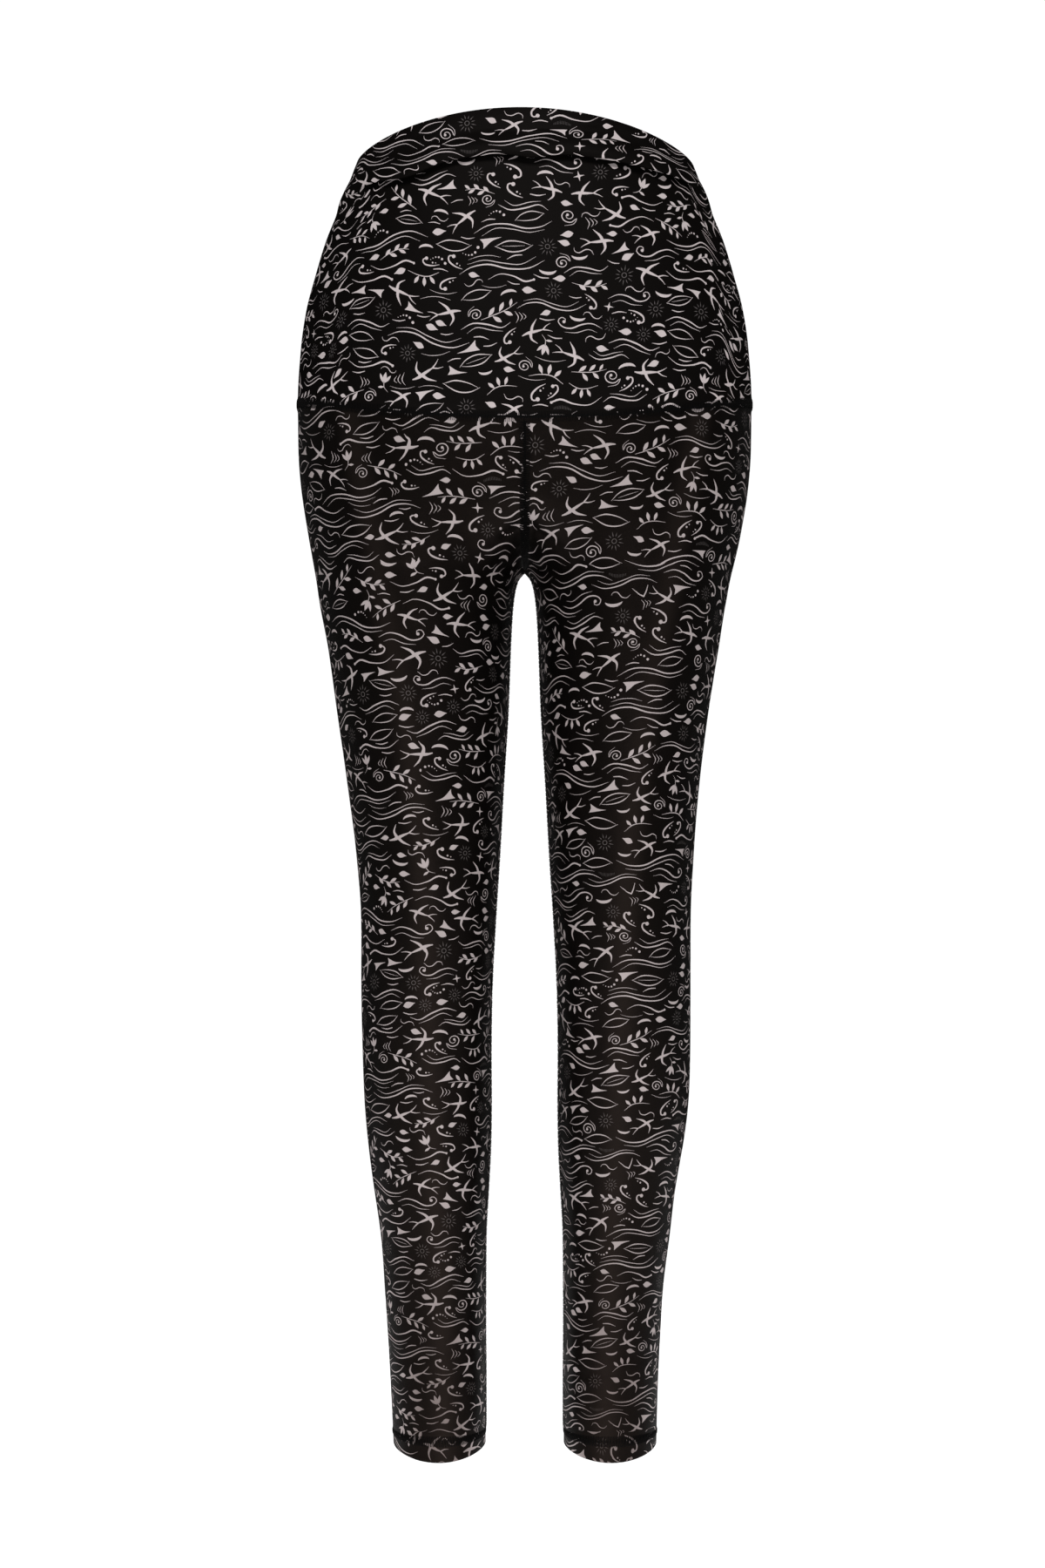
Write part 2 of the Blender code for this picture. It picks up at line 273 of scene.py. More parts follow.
def unit(vectors):
    return vectors / np.maximum(np.linalg.norm(vectors, axis=-1, keepdims=True), 1e-9)


def between(start, end, share):
    return start + (end - start) * share


def smooth_step(share):
    share = np.clip(share, 0, 1)
    return share**2 * (3 - 2 * share)


def travelled(rows):
    """How far down its column each point of some rows of points, or of one line, lies."""
    steps = np.linalg.norm(np.diff(rows, axis=0), axis=-1)
    return np.concatenate([np.zeros((1, *steps.shape[1:])), np.cumsum(steps, axis=0)])


def mean_travelled(rows):
    steps = np.linalg.norm(np.diff(rows, axis=0), axis=-1).mean(axis=1)
    return np.concatenate([[0], np.cumsum(steps)])


def read_line(at, keys, line):
    """Points of a line at these keys. Its own points have rising ones."""
    return np.stack([np.interp(at, keys, line[:, k]) for k in range(line.shape[1])], axis=-1)


def held_curve(at, values):
    """A curve through values at rising places that never overshoots."""
    steps = np.diff(at).reshape(-1, *[1] * (values.ndim - 1))
    grades = np.diff(values, axis=0) / steps
    above = grades[1:]
    below = grades[:-1]
    level = above * below <= 0
    middle = np.where(level, 0.0, 2 * above * below / np.where(level, 1.0, above + below))
    slopes = np.concatenate([grades[:1], middle, grades[-1:]])

    def read(key):
        key = np.clip(key, at[0], at[-1])
        low = np.clip(np.searchsorted(at, key, side="right") - 1, 0, len(steps) - 1)
        step = steps[low]
        t = (key - at[low]).reshape(key.shape + (1,) * (values.ndim - 1)) / step
        start = (1 + 2 * t) * (1 - t) ** 2 * values[low] + t * (1 - t) ** 2 * step * slopes[low]
        end = t**2 * (3 - 2 * t) * values[low + 1] - t**2 * (1 - t) * step * slopes[low + 1]
        return start + end

    return read


def even_curve(at, values, fine):
    """Values read at finer places from a curve that bends as evenly as it can."""
    size = len(at)
    steps = np.diff(at)
    flat = values.reshape(size, -1)
    system = np.eye(size)
    inner = np.arange(1, size - 1)
    system[inner, inner - 1] = steps[:-1]
    system[inner, inner] = 2 * (steps[:-1] + steps[1:])
    system[inner, inner + 1] = steps[1:]
    pulls = np.zeros_like(flat)
    pulls[1:-1] = 6 * np.diff(np.diff(flat, axis=0) / steps[:, None], axis=0)
    bends = np.linalg.solve(system, pulls)
    low = np.clip(np.searchsorted(at, fine, side="right") - 1, 0, size - 2)
    step = steps[low][:, None]
    b = (fine - at[low])[:, None] / step
    a = 1 - b
    bent = ((a**3 - a) * bends[low] + (b**3 - b) * bends[low + 1]) * step**2 / 6
    return (a * flat[low] + b * flat[low + 1] + bent).reshape(len(fine), *values.shape[1:])


def smooth_table(table):
    rows = np.array(sorted(table))
    read = held_curve(rows[:, 0], rows[:, 1:])
    return lambda key: np.moveaxis(read(np.asarray(key, float)), -1, 0)


hips_at = smooth_table(HIPS)
leg_at = smooth_table(LEG)
station_at = smooth_table(LEG_STATIONS)

# ---------------------------------------------------------------- the body's form


def edge_height(levels, turn):
    """The height of an edge that runs round the body, at an angle from the front."""
    front, side, back = levels
    return side + (np.where(np.cos(turn) > 0, front, back) - side) * np.cos(turn) ** 2


def hip_outline(turn, height, out=0.0):
    """Points of the body's outline at angles from the front, on +X up to half a turn."""
    half_width, front, back, fullness = hips_at(height)
    side = np.sin(turn)
    ahead = np.cos(turn)
    depth = np.where(ahead > 0, front, back)
    x = half_width * side * (1 + fullness * ahead**2)
    y = -depth * ahead * (1 + fullness * side**2)
    away = unit(np.stack([side / half_width, -ahead / depth], axis=-1))
    return np.stack([x + out * away[..., 0], y + out * away[..., 1], height], axis=-1)


def leg_outline(turn, height, lean_side):
    """Points of a leg's outline at angles from its inner side, by way of the front."""
    inner, outer, front, back, lean = leg_at(height)
    outer = outer + lean_side * lean
    inward = np.cos(turn)
    ahead = np.sin(turn)
    half_width = (outer - inner) / 2
    half_depth = (front + back) / 2
    x = (inner + outer) / 2 - half_width * inward * (1 + LEG_FULLNESS * ahead**2)
    y = (back - front) / 2 - half_depth * ahead * (1 + LEG_FULLNESS * inward**2)
    return np.stack([x, y, height], axis=-1)


def crowded(share, crowding):
    """Shares of the way round, moved closer to both ends by this much."""
    return share - crowding / FULL_TURN * np.sin(FULL_TURN * share)


def seam_row(row):
    """A leg's row above the crotch: its heights in front, at the side and at the back, and the
    share of the hips' outline at its ends and its middle, which fades as the centre seam bends
    under the body."""
    outer = between(WAIST_SEAM[1], LEG_STATIONS[0][2], row / OPEN_ROWS)
    passed = (row - STRAIGHT_ROWS) / BEND_ROWS
    if passed < 0:
        share = row / STRAIGHT_ROWS
        front = between(WAIST_SEAM[0], CROTCH + FRONT_BEND, share)
        back = between(WAIST_SEAM[2], CROTCH + BACK_BEND, share)
        return (front, outer, back), (1.0, 1.0)
    bend = math.pi / 2 * passed
    front = CROTCH + FRONT_BEND * (1 - math.sin(bend))
    back = CROTCH + BACK_BEND * (1 - math.sin(bend))
    return (front, outer, back), (math.cos(bend), 1 - smooth_step(passed))


def leg_surface(lean_side):
    """A leg on +X: rows from the waist seam down, columns from the front of the centre seam, or
    the inseam, round by the outer side to the back."""
    rows = []
    for row in range(OPEN_ROWS):
        levels, (end_share, middle_share) = seam_row(row)
        share = crowded(LEG_COLUMNS, CROWDING * row / OPEN_ROWS)
        match = smooth_step(row / (STRAIGHT_ROWS + 2))
        hip_turn = math.pi * crowded(share, HIP_CROWDING * match)
        height = edge_height(levels, hip_turn)
        leg = leg_outline(FULL_TURN * share, height, lean_side)
        leg[:, 0] = np.maximum(leg[:, 0], 0)
        near_ends = (np.cos(math.pi * share) ** 4)[:, None]
        hip_share = between(middle_share, end_share, near_ends)
        rows.append(hip_share * hip_outline(hip_turn, height) + (1 - hip_share) * leg)
    last = int(LEG_STATIONS[-1][0])
    for station in range(last + 1):
        inner, outer = station_at(float(station))
        share = crowded(LEG_COLUMNS, CROWDING * (1 - CROWDING_LOST * station / last))
        height = edge_height((inner, outer, inner), math.pi * share)
        rows.append(leg_outline(FULL_TURN * share, height, lean_side))
    return np.array(rows)


def with_neighbours(grid, open_rows, count=1):
    """The grid with columns added at each side: the other leg's across the centre seam, and the
    piece's own below, where it closes on itself."""
    before = grid[:, -1 - count : -1].copy()
    after = grid[:, 1 : 1 + count].copy()
    before[:open_rows] = grid[:open_rows, count:0:-1] * MIRROR
    after[:open_rows] = grid[:open_rows, -2 : -2 - count : -1] * MIRROR
    return np.concatenate([before, grid, after], axis=1)


def smoothed_crotch(grid):
    """Evens out the saddle round the crotch, where both legs and both bends meet."""
    away = np.linalg.norm(grid - grid[OPEN_ROWS, 0], axis=-1)
    pull = SMOOTHING_PULL * np.exp(-((away / SMOOTHING_REACH) ** 2))[1:-1, :, None]
    for _ in range(SMOOTHING_ROUNDS):
        wide = with_neighbours(grid, OPEN_ROWS)
        beside = wide[:, :-2] + wide[:, 2:]
        mean = (beside[1:-1] + grid[:-2] + grid[2:]) / 4
        grid[1:-1] += pull * (mean - grid[1:-1])
        grid[: OPEN_ROWS + 1, (0, -1), 0] = 0
        grid[OPEN_ROWS:, 0] = (grid[OPEN_ROWS:, 0] + grid[OPEN_ROWS:, -1]) / 2
        grid[OPEN_ROWS:, -1] = grid[OPEN_ROWS:, 0]
    return grid


def finer_leg(lean_side):
    """A leg's grid with points between its points, on even curves. Near the crotch the curves
    down the leg hold to their points, because the seam turns a corner there."""
    turn = math.pi * LEG_COLUMNS
    above = np.array([hip_outline(turn, np.full_like(turn, height)) for height in ABOVE_WAIST])
    grid = np.concatenate([above, smoothed_crotch(leg_surface(lean_side))])
    at = mean_travelled(grid)
    index = np.arange(len(grid))
    fine = np.interp(np.linspace(0, index[-1], ROWS_FINER * index[-1] + 1), index, at)
    loose = smooth_step(np.sin(math.pi * LEG_COLUMNS) / 0.5)[None, :, None]
    rows = even_curve(at, grid, fine) * loose + held_curve(at, grid)(fine) * (1 - loose)
    beyond = 4
    wide = with_neighbours(rows, (OPEN_ROWS + len(above)) * ROWS_FINER, beyond)
    places = np.arange(wide.shape[1]) - float(beyond)
    fine_columns = np.linspace(0, LEG_AROUND, LEG_AROUND * COLUMNS_FINER + 1)
    columns = even_curve(places, np.moveaxis(wide, 1, 0), fine_columns)
    return np.moveaxis(columns, 0, 1)


# ---------------------------------------------------------------- sheets


class Sheet:
    """A piece of cloth drafted flat: its levels, how far it reaches to both sides of its front
    line at each, the points and normals that its places have on the body, and its print's size
    and slope. Down to open_rows its sides meet the other leg's, and below they meet each other."""

    def __init__(self, levels, columns, front_of, around, print_size=None, open_rows=0):
        arcs = np.linalg.norm(np.diff(columns, axis=1), axis=-1)
        across = np.concatenate([np.zeros((len(levels), 1)), np.cumsum(arcs, axis=1)], axis=1)
        across -= front_of(columns, across)[:, None]
        self.levels = levels
        self.left = -across[:, 0]
        self.right = across[:, -1]
        reach = np.where(across < 0, self.left[:, None], self.right[:, None])
        self.column_shares = across / reach
        self.shares = np.linspace(-1, 1, around)
        rows = zip(self.column_shares, columns)
        self.points = np.array([read_line(self.shares, share, row) for share, row in rows])
        self.print_size = np.ones(len(levels)) if print_size is None else print_size
        middle = (self.print_size[1:] + self.print_size[:-1]) / 2
        self.print_levels = np.concatenate([[0], np.cumsum(np.diff(levels) / middle)])
        self.print_levels += levels[0]
        self.slope = np.zeros(around)
        self.open_rows = open_rows

    def edge(self, edge_levels):
        """Rising shares and their levels on an edge that has this level at each drafted column."""
        pairs = zip(edge_levels, self.column_shares.T)
        shares = np.array([np.interp(level, self.levels, shares) for level, shares in pairs])
        order = np.argsort(shares)
        return shares[order], edge_levels[order]

    def reach(self, share, level):
        left = np.interp(level, self.levels, self.left)
        right = np.interp(level, self.levels, self.right)
        return np.where(share < 0, left, right)

    def to_print(self, share, level):
        """Where a place of the sheet lies in the flat print."""
        size = np.interp(level, self.levels, self.print_size)
        across = share * self.reach(share, level) / size
        down = np.interp(level, self.levels, self.print_levels)
        return np.stack([across, down - np.interp(share, self.shares, self.slope)], axis=-1)

    def from_print(self, spots):
        """The share and level of spots in the flat print."""
        share = np.zeros(len(spots))
        for _ in range(8):
            down = spots[:, 1] + np.interp(share, self.shares, self.slope)
            level = np.interp(down, self.print_levels, self.levels)
            across = spots[:, 0] * np.interp(level, self.levels, self.print_size)
            share = np.clip(across / self.reach(across, level), -1, 1)
        return share, level

    def read(self, grid, share, level):
        """Values of a grid over the sheet at these places."""
        row = np.interp(level, self.levels, np.arange(len(self.levels)))
        column = (share + 1) / 2 * (len(self.shares) - 1)
        top = np.clip(row.astype(int), 0, len(self.levels) - 2)
        side = np.clip(column.astype(int), 0, len(self.shares) - 2)
        down = (row - top)[..., None]
        along = (column - side)[..., None]
        upper = grid[top, side] * (1 - along) + grid[top, side + 1] * along
        lower = grid[top + 1, side] * (1 - along) + grid[top + 1, side + 1] * along
        return upper * (1 - down) + lower * down

    def place(self, share, level, out=0.0):
        """Points of the cloth, moved out by this much, and their normals."""
        share, level = np.broadcast_arrays(share, level)
        away = unit(self.read(self.normals, share, level))
        return self.read(self.points, share, level) + out * away, away

    def find_normals(self):
        """Normals of the points, out of the cloth's face. They stay in the centre seam's plane."""
        padded = with_neighbours(self.points, self.open_rows)
        across = padded[:, 2:] - padded[:, :-2]
        normals = unit(np.cross(across, np.gradient(self.points, axis=0)))
        self.normals = normals * -np.sign(normals[len(normals) // 2, len(self.shares) // 2, 1])
        self.normals[: self.open_rows, (0, -1), 0] = 0

    def form(self, kind, edge, highest=-math.inf, lowest=math.inf):
        """Presses the creases of this kind of sheet into it, and lifts it beside its seams, where
        its edges are turned in, between these levels."""
        self.find_normals()
        share, level = np.meshgrid(self.shares, self.levels)
        across = share * self.reach(share, level)
        depth = np.zeros_like(share)
        for at_share, at_level, length, tilt, width, deep in SOFT_CREASES[kind]:
            aside = across - at_share * self.reach(np.float64(at_share), at_level)
            below = level - at_level
            turn = math.radians(tilt)
            along = aside * math.cos(turn) + below * math.sin(turn)
            sag = CREASE_SAG * along**2 * np.sign(tilt)
            away = (below * math.cos(turn) - aside * math.sin(turn) + sag) / width
            trough = (1 - 0.6 * away**2) * np.exp(-(away**2))
            depth += deep * trough * np.exp(-((along / length) ** 4))
        self.points -= depth[..., None] * self.normals
        aside = (1 - np.abs(share)) * self.reach(share, level)
        near = np.minimum(aside, np.abs(level - np.interp(share, *edge)))
        lift = SEAM_LIFT * smooth_step(1 - (near - SEAM_HALF_WIDTH + 1) / SEAM_SLOPE)
        lift[(level < highest) | (level > lowest)] = 0
        self.points += lift[..., None] * self.normals


def levelled(columns, keys, levels):
    """Points of each column at these levels, read by its own rising keys."""
    pairs = zip(keys.T, columns.swapaxes(0, 1))
    return np.stack([read_line(levels, key, column) for key, column in pairs], axis=1)


def level_rows(*zones):
    """Levels with the step of the zone that they are in."""
    return np.concatenate([np.arange(start, end, step) for start, end, step in zones])


def hem_rows(lean_side, even):
    """Rows of a leg from the start of its hem round the fold and up inside."""
    turn = FULL_TURN * crowded(even, CROWDING * (1 - CROWDING_LOST))
    edge = edge_height(HEM_EDGE, turn - math.pi / 2)
    rows = []
    for part in np.linspace(0, 1, ROWS_TO_FOLD)[:-1]:
        height = between(HEM_START, edge + HEM_FOLD[0][0], part)
        rows.append(leg_outline(turn, height, lean_side))
    for above, out in HEM_FOLD:
        line = leg_outline(turn, edge + above, lean_side)
        along = np.roll(line[:-1], -1, axis=0) - np.roll(line[:-1], 1, axis=0)
        away = unit(np.stack([-along[:, 1], along[:, 0], np.zeros(len(along))], axis=-1))
        away = np.concatenate([away, away[:1]])
        away *= np.sign(((line - line[:-1].mean(axis=0)) * away).sum(axis=1, keepdims=True))
        rows.append(line + out * away)
    return np.array(rows)


def leg_front(side):
    """How far along each row of a leg its front line lies, halfway between its two sides."""

    def front_of(columns, across):
        inner, outer = leg_at(columns[..., 2].mean(axis=1))[:2]
        found = []
        for row, run, middle in zip(side * columns[..., 0], across, (inner + outer) / 2):
            widest = int(np.argmax(row)) + 1
            found.append(np.interp(middle, row[:widest], run[:widest]))
        return np.array(found)

    return front_of


def leg_sheet(side):
    """The sheet of a leg, whose side is 1 for the one on +X and -1 for the other."""
    columns = finer_leg(-side)
    keys = np.maximum.accumulate(-columns[..., 2], axis=0) + 1e-6 * np.arange(len(columns))[:, None]
    upper = np.arange(-SHEET_TOP, 306, LEVEL_STEP)
    lower = np.arange(322, -HEM_START, LEVEL_STEP)
    levels = np.concatenate([upper, NEAR_CROTCH, [-CROTCH], lower])
    open_rows = len(upper) + len(NEAR_CROTCH)
    hem = hem_rows(-side, np.linspace(0, 1, columns.shape[1]))
    hem_levels = -HEM_START + mean_travelled(hem)
    hem_fine = np.append(np.arange(hem_levels[0], hem_levels[-1], FINE_STEP), hem_levels[-1])
    rows = [levelled(columns, keys, levels), even_curve(hem_levels, hem, hem_fine)]
    levels = np.concatenate([levels, hem_fine])
    size = np.interp(levels, *LEG_PRINT_SIZE)
    rows = np.concatenate(rows) * (side, 1, 1)
    sheet = Sheet(levels, rows, leg_front(side), LEG_PLACES, size, open_rows)
    sheet.top = sheet.edge(-columns[len(ABOVE_WAIST) * ROWS_FINER, :, 2] + SEAM_GAP / 2)
    sheet.form("leg", sheet.top, lowest=-HEM_START)
    sheet.points[: open_rows + 1, (0, -1), 0] = side * SEAM_GAP / 2
    sheet.find_normals()
    sheet.end = hem_levels[-1]
    return sheet


def band_sheet():
    """The sheet of the waistband. Its level is the way down from the top fold, and up from there,
    below zero, it runs down inside."""
    turn = np.linspace(-math.pi, math.pi, BAND_TURNS)
    rows = np.array(CREASE)
    rows = np.concatenate([rows[-3:-1] - (360, 0, 0), rows, rows[1:3] + (360, 0, 0)])
    degrees = (np.degrees(turn) + 100) % 360 - 100
    lip, fullness = even_curve(rows[:, 0], rows[:, 1:], degrees).T
    folded = smooth_step((fullness - ROLL_FOLDS[0]) / ROLL_FOLDS[1])
    top = edge_height(TOP_EDGE, turn) - TOP_TILT * np.sin(turn)
    seam = edge_height(WAIST_SEAM, turn)
    path = []
    for part in np.linspace(0, 1, INNER_ROWS):
        path.append((between(seam - SEAM_GAP / 2, top - 6, part), np.full_like(turn, -BAND_WALL)))
    for drop, out in reversed(TOP_FOLD):
        path.append((top - drop, np.full_like(turn, out)))
    fold_row = (len(path) - 4) * BAND_ROWS_FINER  # just inside the top of the fold
    for full, faded, out in ROLL_PROFILE:
        drop = between(faded, full, folded)
        follow = min(1.0, full / ROLL_LEVEL_BELOW) if full < ROLL_END else 0.0
        path.append((top - drop - (lip - LIP_DROP) * follow, ROLL_FULLNESS * out * fullness))
    start = path[-1][0]
    for part in np.linspace(0, 1, OUTER_ROWS)[1:]:
        path.append((between(start, seam - BELOW_SEAM, part), np.zeros_like(turn)))
    rows = np.array([hip_outline(turn, height, out) for height, out in path])
    last = len(rows) - 1
    rows = even_curve(np.arange(len(rows)), rows, np.linspace(0, last, BAND_ROWS_FINER * last + 1))
    keys = travelled(rows)
    keys -= keys[fold_row]
    levels = level_rows((-260, -8, LEVEL_STEP), (-8, 76, FINE_STEP), (76, 300, LEVEL_STEP))
    front = len(turn) // 2
    rows_at = levelled(rows, keys, levels)
    sheet = Sheet(levels, rows_at, lambda _, across: across[:, front], BAND_PLACES)
    columns = zip(seam, rows[fold_row:, :, 2].T, keys[fold_row:].T)
    at_seam = [np.interp(-(low + SEAM_GAP / 2), -heights, key) for low, heights, key in columns]
    sheet.seam = sheet.edge(np.array(at_seam))
    sheet.inner_seam = sheet.edge(keys[0])
    sheet.slope = sheet.points[int(np.searchsorted(levels, 0)), :, 2].copy()
    sheet.form("band", sheet.seam, highest=8)
    sheet.find_normals()
    return sheet


# ---------------------------------------------------------------- the print's motifs

INK_SPREAD = 0.58  # how wide the print's lines are, as a share of their drafted widths


def flowing(points, count):
    """Points evenly along a smooth line through the given ones."""
    given = np.array(points, float)
    ends = np.concatenate([2 * given[:1] - given[1:2], given, 2 * given[-1:] - given[-2:-1]])
    line = []
    t = np.linspace(0, 1, 16, endpoint=False)[:, None]
    for a, b, c, d in zip(ends, ends[1:], ends[2:], ends[3:]):
        bend = (2 * a - 5 * b + 4 * c - d) * t**2 + (3 * b - a - 3 * c + d) * t**3
        line.append(0.5 * (2 * b + (c - a) * t + bend))
    line = np.concatenate([*line, given[-1:]])
    gone = travelled(line)
    return read_line(np.linspace(0, gone[-1], count), gone, line)


def stroke(points, widths, count=12):
    """A brush stroke along a smooth line, with these widths at even steps along it."""
    line = flowing(points, count)
    run = unit(np.gradient(line, axis=0))
    across = np.stack([-run[:, 1], run[:, 0]], axis=1)
    at = np.linspace(0, 1, count)
    half = np.interp(at, np.linspace(0, 1, len(widths)), widths)[:, None] * INK_SPREAD / 2
    return np.concatenate([line + across * half, (line - across * half)[::-1]])


def oval(turn, across, up):
    return np.stack([across * np.cos(turn), up * np.sin(turn)], axis=-1)


def dot(x, y, radius, sides=9):
    turn = np.linspace(0, FULL_TURN, sides, endpoint=False)
    return oval(turn, radius, radius) + (x, y)


def turned(shape, turn):
    c = math.cos(turn)
    s = math.sin(turn)
    return shape @ np.array([[c, s], [-s, c]])


def petal(x, y, length, width, degrees, widest=0.55):
    """A solid leaf from its stalk end, widest at this share of its length."""
    share = np.linspace(0, 1, 7)
    swell = np.sin(math.pi * share ** (math.log(0.5) / math.log(widest))) * width / 2
    upper = np.stack([share * length, swell], axis=1)
    lower = (upper * (1, -1))[-2:0:-1]
    return turned(np.concatenate([upper, lower]), math.radians(degrees)) + (x, y)


def curl():
    reach = np.linspace(6.2, 1.3, 12)
    line = oval(np.linspace(0.2, 3.3 * math.pi, 12), reach, 0.85 * reach)
    widths = (0.3, 1.0, 1.4, 1.1, 0.8)
    x, y = line[-1]
    return [stroke([(-2, 7.5), (4.4, 5.4), *line], widths, 30), dot(x, y + 0.3, 1.0)]


def flare():
    upper = flowing([(-9, -2.6), (-1.5, -0.6), (5.2, 4.4)], 9)
    side = flowing([(5.2, 4.4), (4.9, 0.4), (7.2, -3.0)], 5)[1:-1]
    lower = flowing([(7.2, -3.0), (0.5, -2.9), (-9, -2.6)], 8)[:-1]
    return [np.concatenate([upper, side, lower])]


def crescent():
    turn = np.linspace(0.15, math.pi - 0.15, 9)
    return [np.concatenate([oval(turn, 6.4, 4.2), oval(turn, 6.0, 2.0)[::-1][1:-1]])]


def star():
    reach = np.array([4.3, 1.55, 1.15, 1.55] * 4)
    return [oval(np.linspace(0, FULL_TURN, 16, endpoint=False), 1.1 * reach, reach)]


def rosette():
    shapes = []
    for start in (0, math.pi):
        line = oval(np.linspace(start, start + math.pi, 7), 1.7, 1.7)
        shapes.append(np.concatenate([line * 1.14, line[::-1] * 0.86]))
    for k in range(12):
        tip = 6.4 if k % 2 else 7.4
        ray = np.array([(3.1, 0), (4.4, -0.32), (tip, 0), (4.4, 0.32)])
        shapes.append(turned(ray, k * math.pi / 6))
    return shapes


def rain():
    shapes = []
    for k in range(14):
        x = 1.15 * k - 7.5
        y = 1.2 * math.cos(0.22 * (k - 6.5)) - 2
        top = y + 2.2 + 0.9 * math.cos(0.3 * (k - 6.5))
        shapes.append(np.array([(x - 0.11, y), (x + 0.11, y), (x + 0.09, top), (x - 0.09, top)]))
    return shapes


FERN_RISE = [(-21, -1), (-12, 2.6), (-3, 1.2), (6, -3), (13.5, -2.4)]
FERN_CURL = [(17.6, 1.6), (15.4, 5.2), (11.9, 4.6), (11.6, 2.2)]
FERN_WAVE = [
    stroke(FERN_RISE + FERN_CURL, (0.3, 1.3, 1.9, 2.2, 1.7, 1.3, 1), 26),
    dot(12.6, 1.9, 1.35),
    stroke([(-17, -4.6), (-9, -2.6), (1, -6.2), (11, -6.8)], (0.2, 0.9, 1.1, 0.2)),
]
RIVER_LINE = [(-20, -2.6), (-10, 2.4), (2, 0.8), (12, -3.2), (20, -1)]
RIVER = [stroke(RIVER_LINE, (0.3, 1.2, 1.6, 2.6, 2.2), 18), dot(19.7, -1, 1.1)]
TWIN_RIVER = [
    stroke([(-18, 0), (-9, 3.6), (2, 1.4), (12, -2.4), (19, 0.6)], (0.3, 1.6, 2, 1.5, 0.3), 16),
    stroke([(-14, -3.4), (-6, 0.2), (5, -3.4), (13, -5.2)], (0.2, 1, 1.1, 0.2)),
]
SWEEP_UPPER = [(-30, -1.5), (-18, 3.4), (-4, 2.2), (9, -2.6), (21, -2.2), (30, 2)]
SWEEP_LOWER = [(-24, -4.2), (-13, 0.2), (0, -2.4), (12, -6), (24, -4.4)]
SWEEP = [
    stroke(SWEEP_UPPER, (0.2, 1.4, 1.7, 1.9, 1.4, 0.2), 22),
    stroke(SWEEP_LOWER, (0.2, 0.9, 1.1, 0.9, 0.2), 18),
]
COMB = [
    stroke([(x, 4.5 - k), (x + 2, 0.5), (x - 0.4, -4.4 + k)], (0.25, 1.2 - 0.15 * k, 0.25), 7)
    for k, x in enumerate((0, 3, 5.8))
]
LEAF = [
    stroke([(-13.5, -2.2), (-7, 2.6), (2, 4.3), (13, 1.4)], (0.4, 1.5, 1.5, 0.4), 14),
    stroke([(-12, -1.9), (-4, -3.4), (5, -2.8), (12.6, 1.6)], (0.3, 1.2, 1.7, 0.3), 14),
]
VEINED_LEAF = [*LEAF, stroke([(-8, -0.9), (0, 0.2), (8, 0.9)], (0.2, 0.7, 0.2), 8)]
DROP = [petal(-4.8, 0, 10, 5, 0, 0.62)]
CREST_LINE = [(-8.6, -4.2), (-2.5, -3.4), (3.2, -0.6), (4.2, 3.4), (0.8, 4.6)]
CREST = [
    stroke(CREST_LINE, (0.4, 1.6, 2.4, 2, 1.6), 16),
    dot(0.6, 4.1, 1.5),
    dot(-3.4, -0.9, 0.75, 7),
    dot(-5.9, -1.9, 0.5, 6),
]
SPRIG = [
    stroke([(-14, -3.6), (-5, -1.6), (4, 0.9), (13, 5.2)], (0.4, 1.1, 0.9, 0.3)),
    petal(-8.5, -2.2, 8, 3, 52),
    petal(-5.5, -2.2, 8, 3, -40),
    petal(-0.5, 0.2, 7.6, 2.8, 60),
    petal(2.5, 0.2, 7.4, 2.8, -30),
    petal(7.5, 2.7, 6, 2.2, 74),
]
TULIP = [
    petal(0, 0, 9.5, 3.6, 90, 0.45),
    petal(-0.6, -0.2, 9, 2.6, 122, 0.5),
    petal(0.6, -0.2, 9, 2.6, 58, 0.5),
    stroke([(0, 0.4), (-1.2, -4), (-5.4, -7.4)], (1.2, 0.8, 0.3), 9),
    petal(-1.4, -3.6, 6.4, 2, -12),
]
TWIG = [
    stroke([(-14, 2.6), (-5, 0.8), (4, 0.6), (12, 3.4)], (0.3, 1.1, 1.1, 0.4)),
    petal(-9, 1.8, 7.4, 2.9, -34),
    petal(-5, 1, 7.4, 2.9, 38),
    petal(-0.5, 0.8, 7.4, 2.9, -32),
    petal(3.5, 0.9, 7, 2.7, 42),
    petal(7.6, 1.8, 6.4, 2.4, -26),
]
SWALLOW = [
    stroke([(-9, -1), (-2, 0), (5, 1.2), (9.5, 0.9)], (0.9, 3.2, 4.2, 1.2), 10),
    stroke([(1.5, 0.6), (-1, 4.6), (-6.5, 8.8)], (4.2, 2.8, 0.4), 9),
    stroke([(2.5, 0.2), (3.6, -4.6), (0.6, -9.4)], (4.2, 2.6, 0.4), 9),
    stroke([(-8, -0.8), (-11.5, 1), (-15.5, 1.6)], (1.8, 1.2, 0.3), 7),
    stroke([(-8, -1), (-11.5, -2.8), (-14.5, -5)], (1.8, 1.2, 0.3), 7),
]
LILY = [
    stroke([(-12, 3.2), (-4, 0.6), (4, 0.2), (12, 4)], (0.3, 1, 1.2, 0.4)),
    petal(-3, 0.2, 7, 2.6, -118),
    petal(1, 0, 7.6, 2.8, -86),
    petal(5, 0.6, 7, 2.6, -52),
]
SEEDS = [
    dot(x, 0.09 * x * x - 1.6, radius, sides)
    for x, radius, sides in (
        (-6.4, 1.2, 9),
        (-3, 1, 8),
        (0, 0.8, 8),
        (2.5, 0.62, 7),
        (4.6, 0.48, 6),
        (6.3, 0.36, 6),
    )
]
TICK = [
    stroke([(-0.6, -4.6), (-3.6, -0.6), (-6.2, 4.4)], (2, 1.5, 0.7), 8),
    stroke([(-1.2, -4.4), (3, -1.2), (7.2, 4.6)], (2, 1.3, 0.5), 8),
]
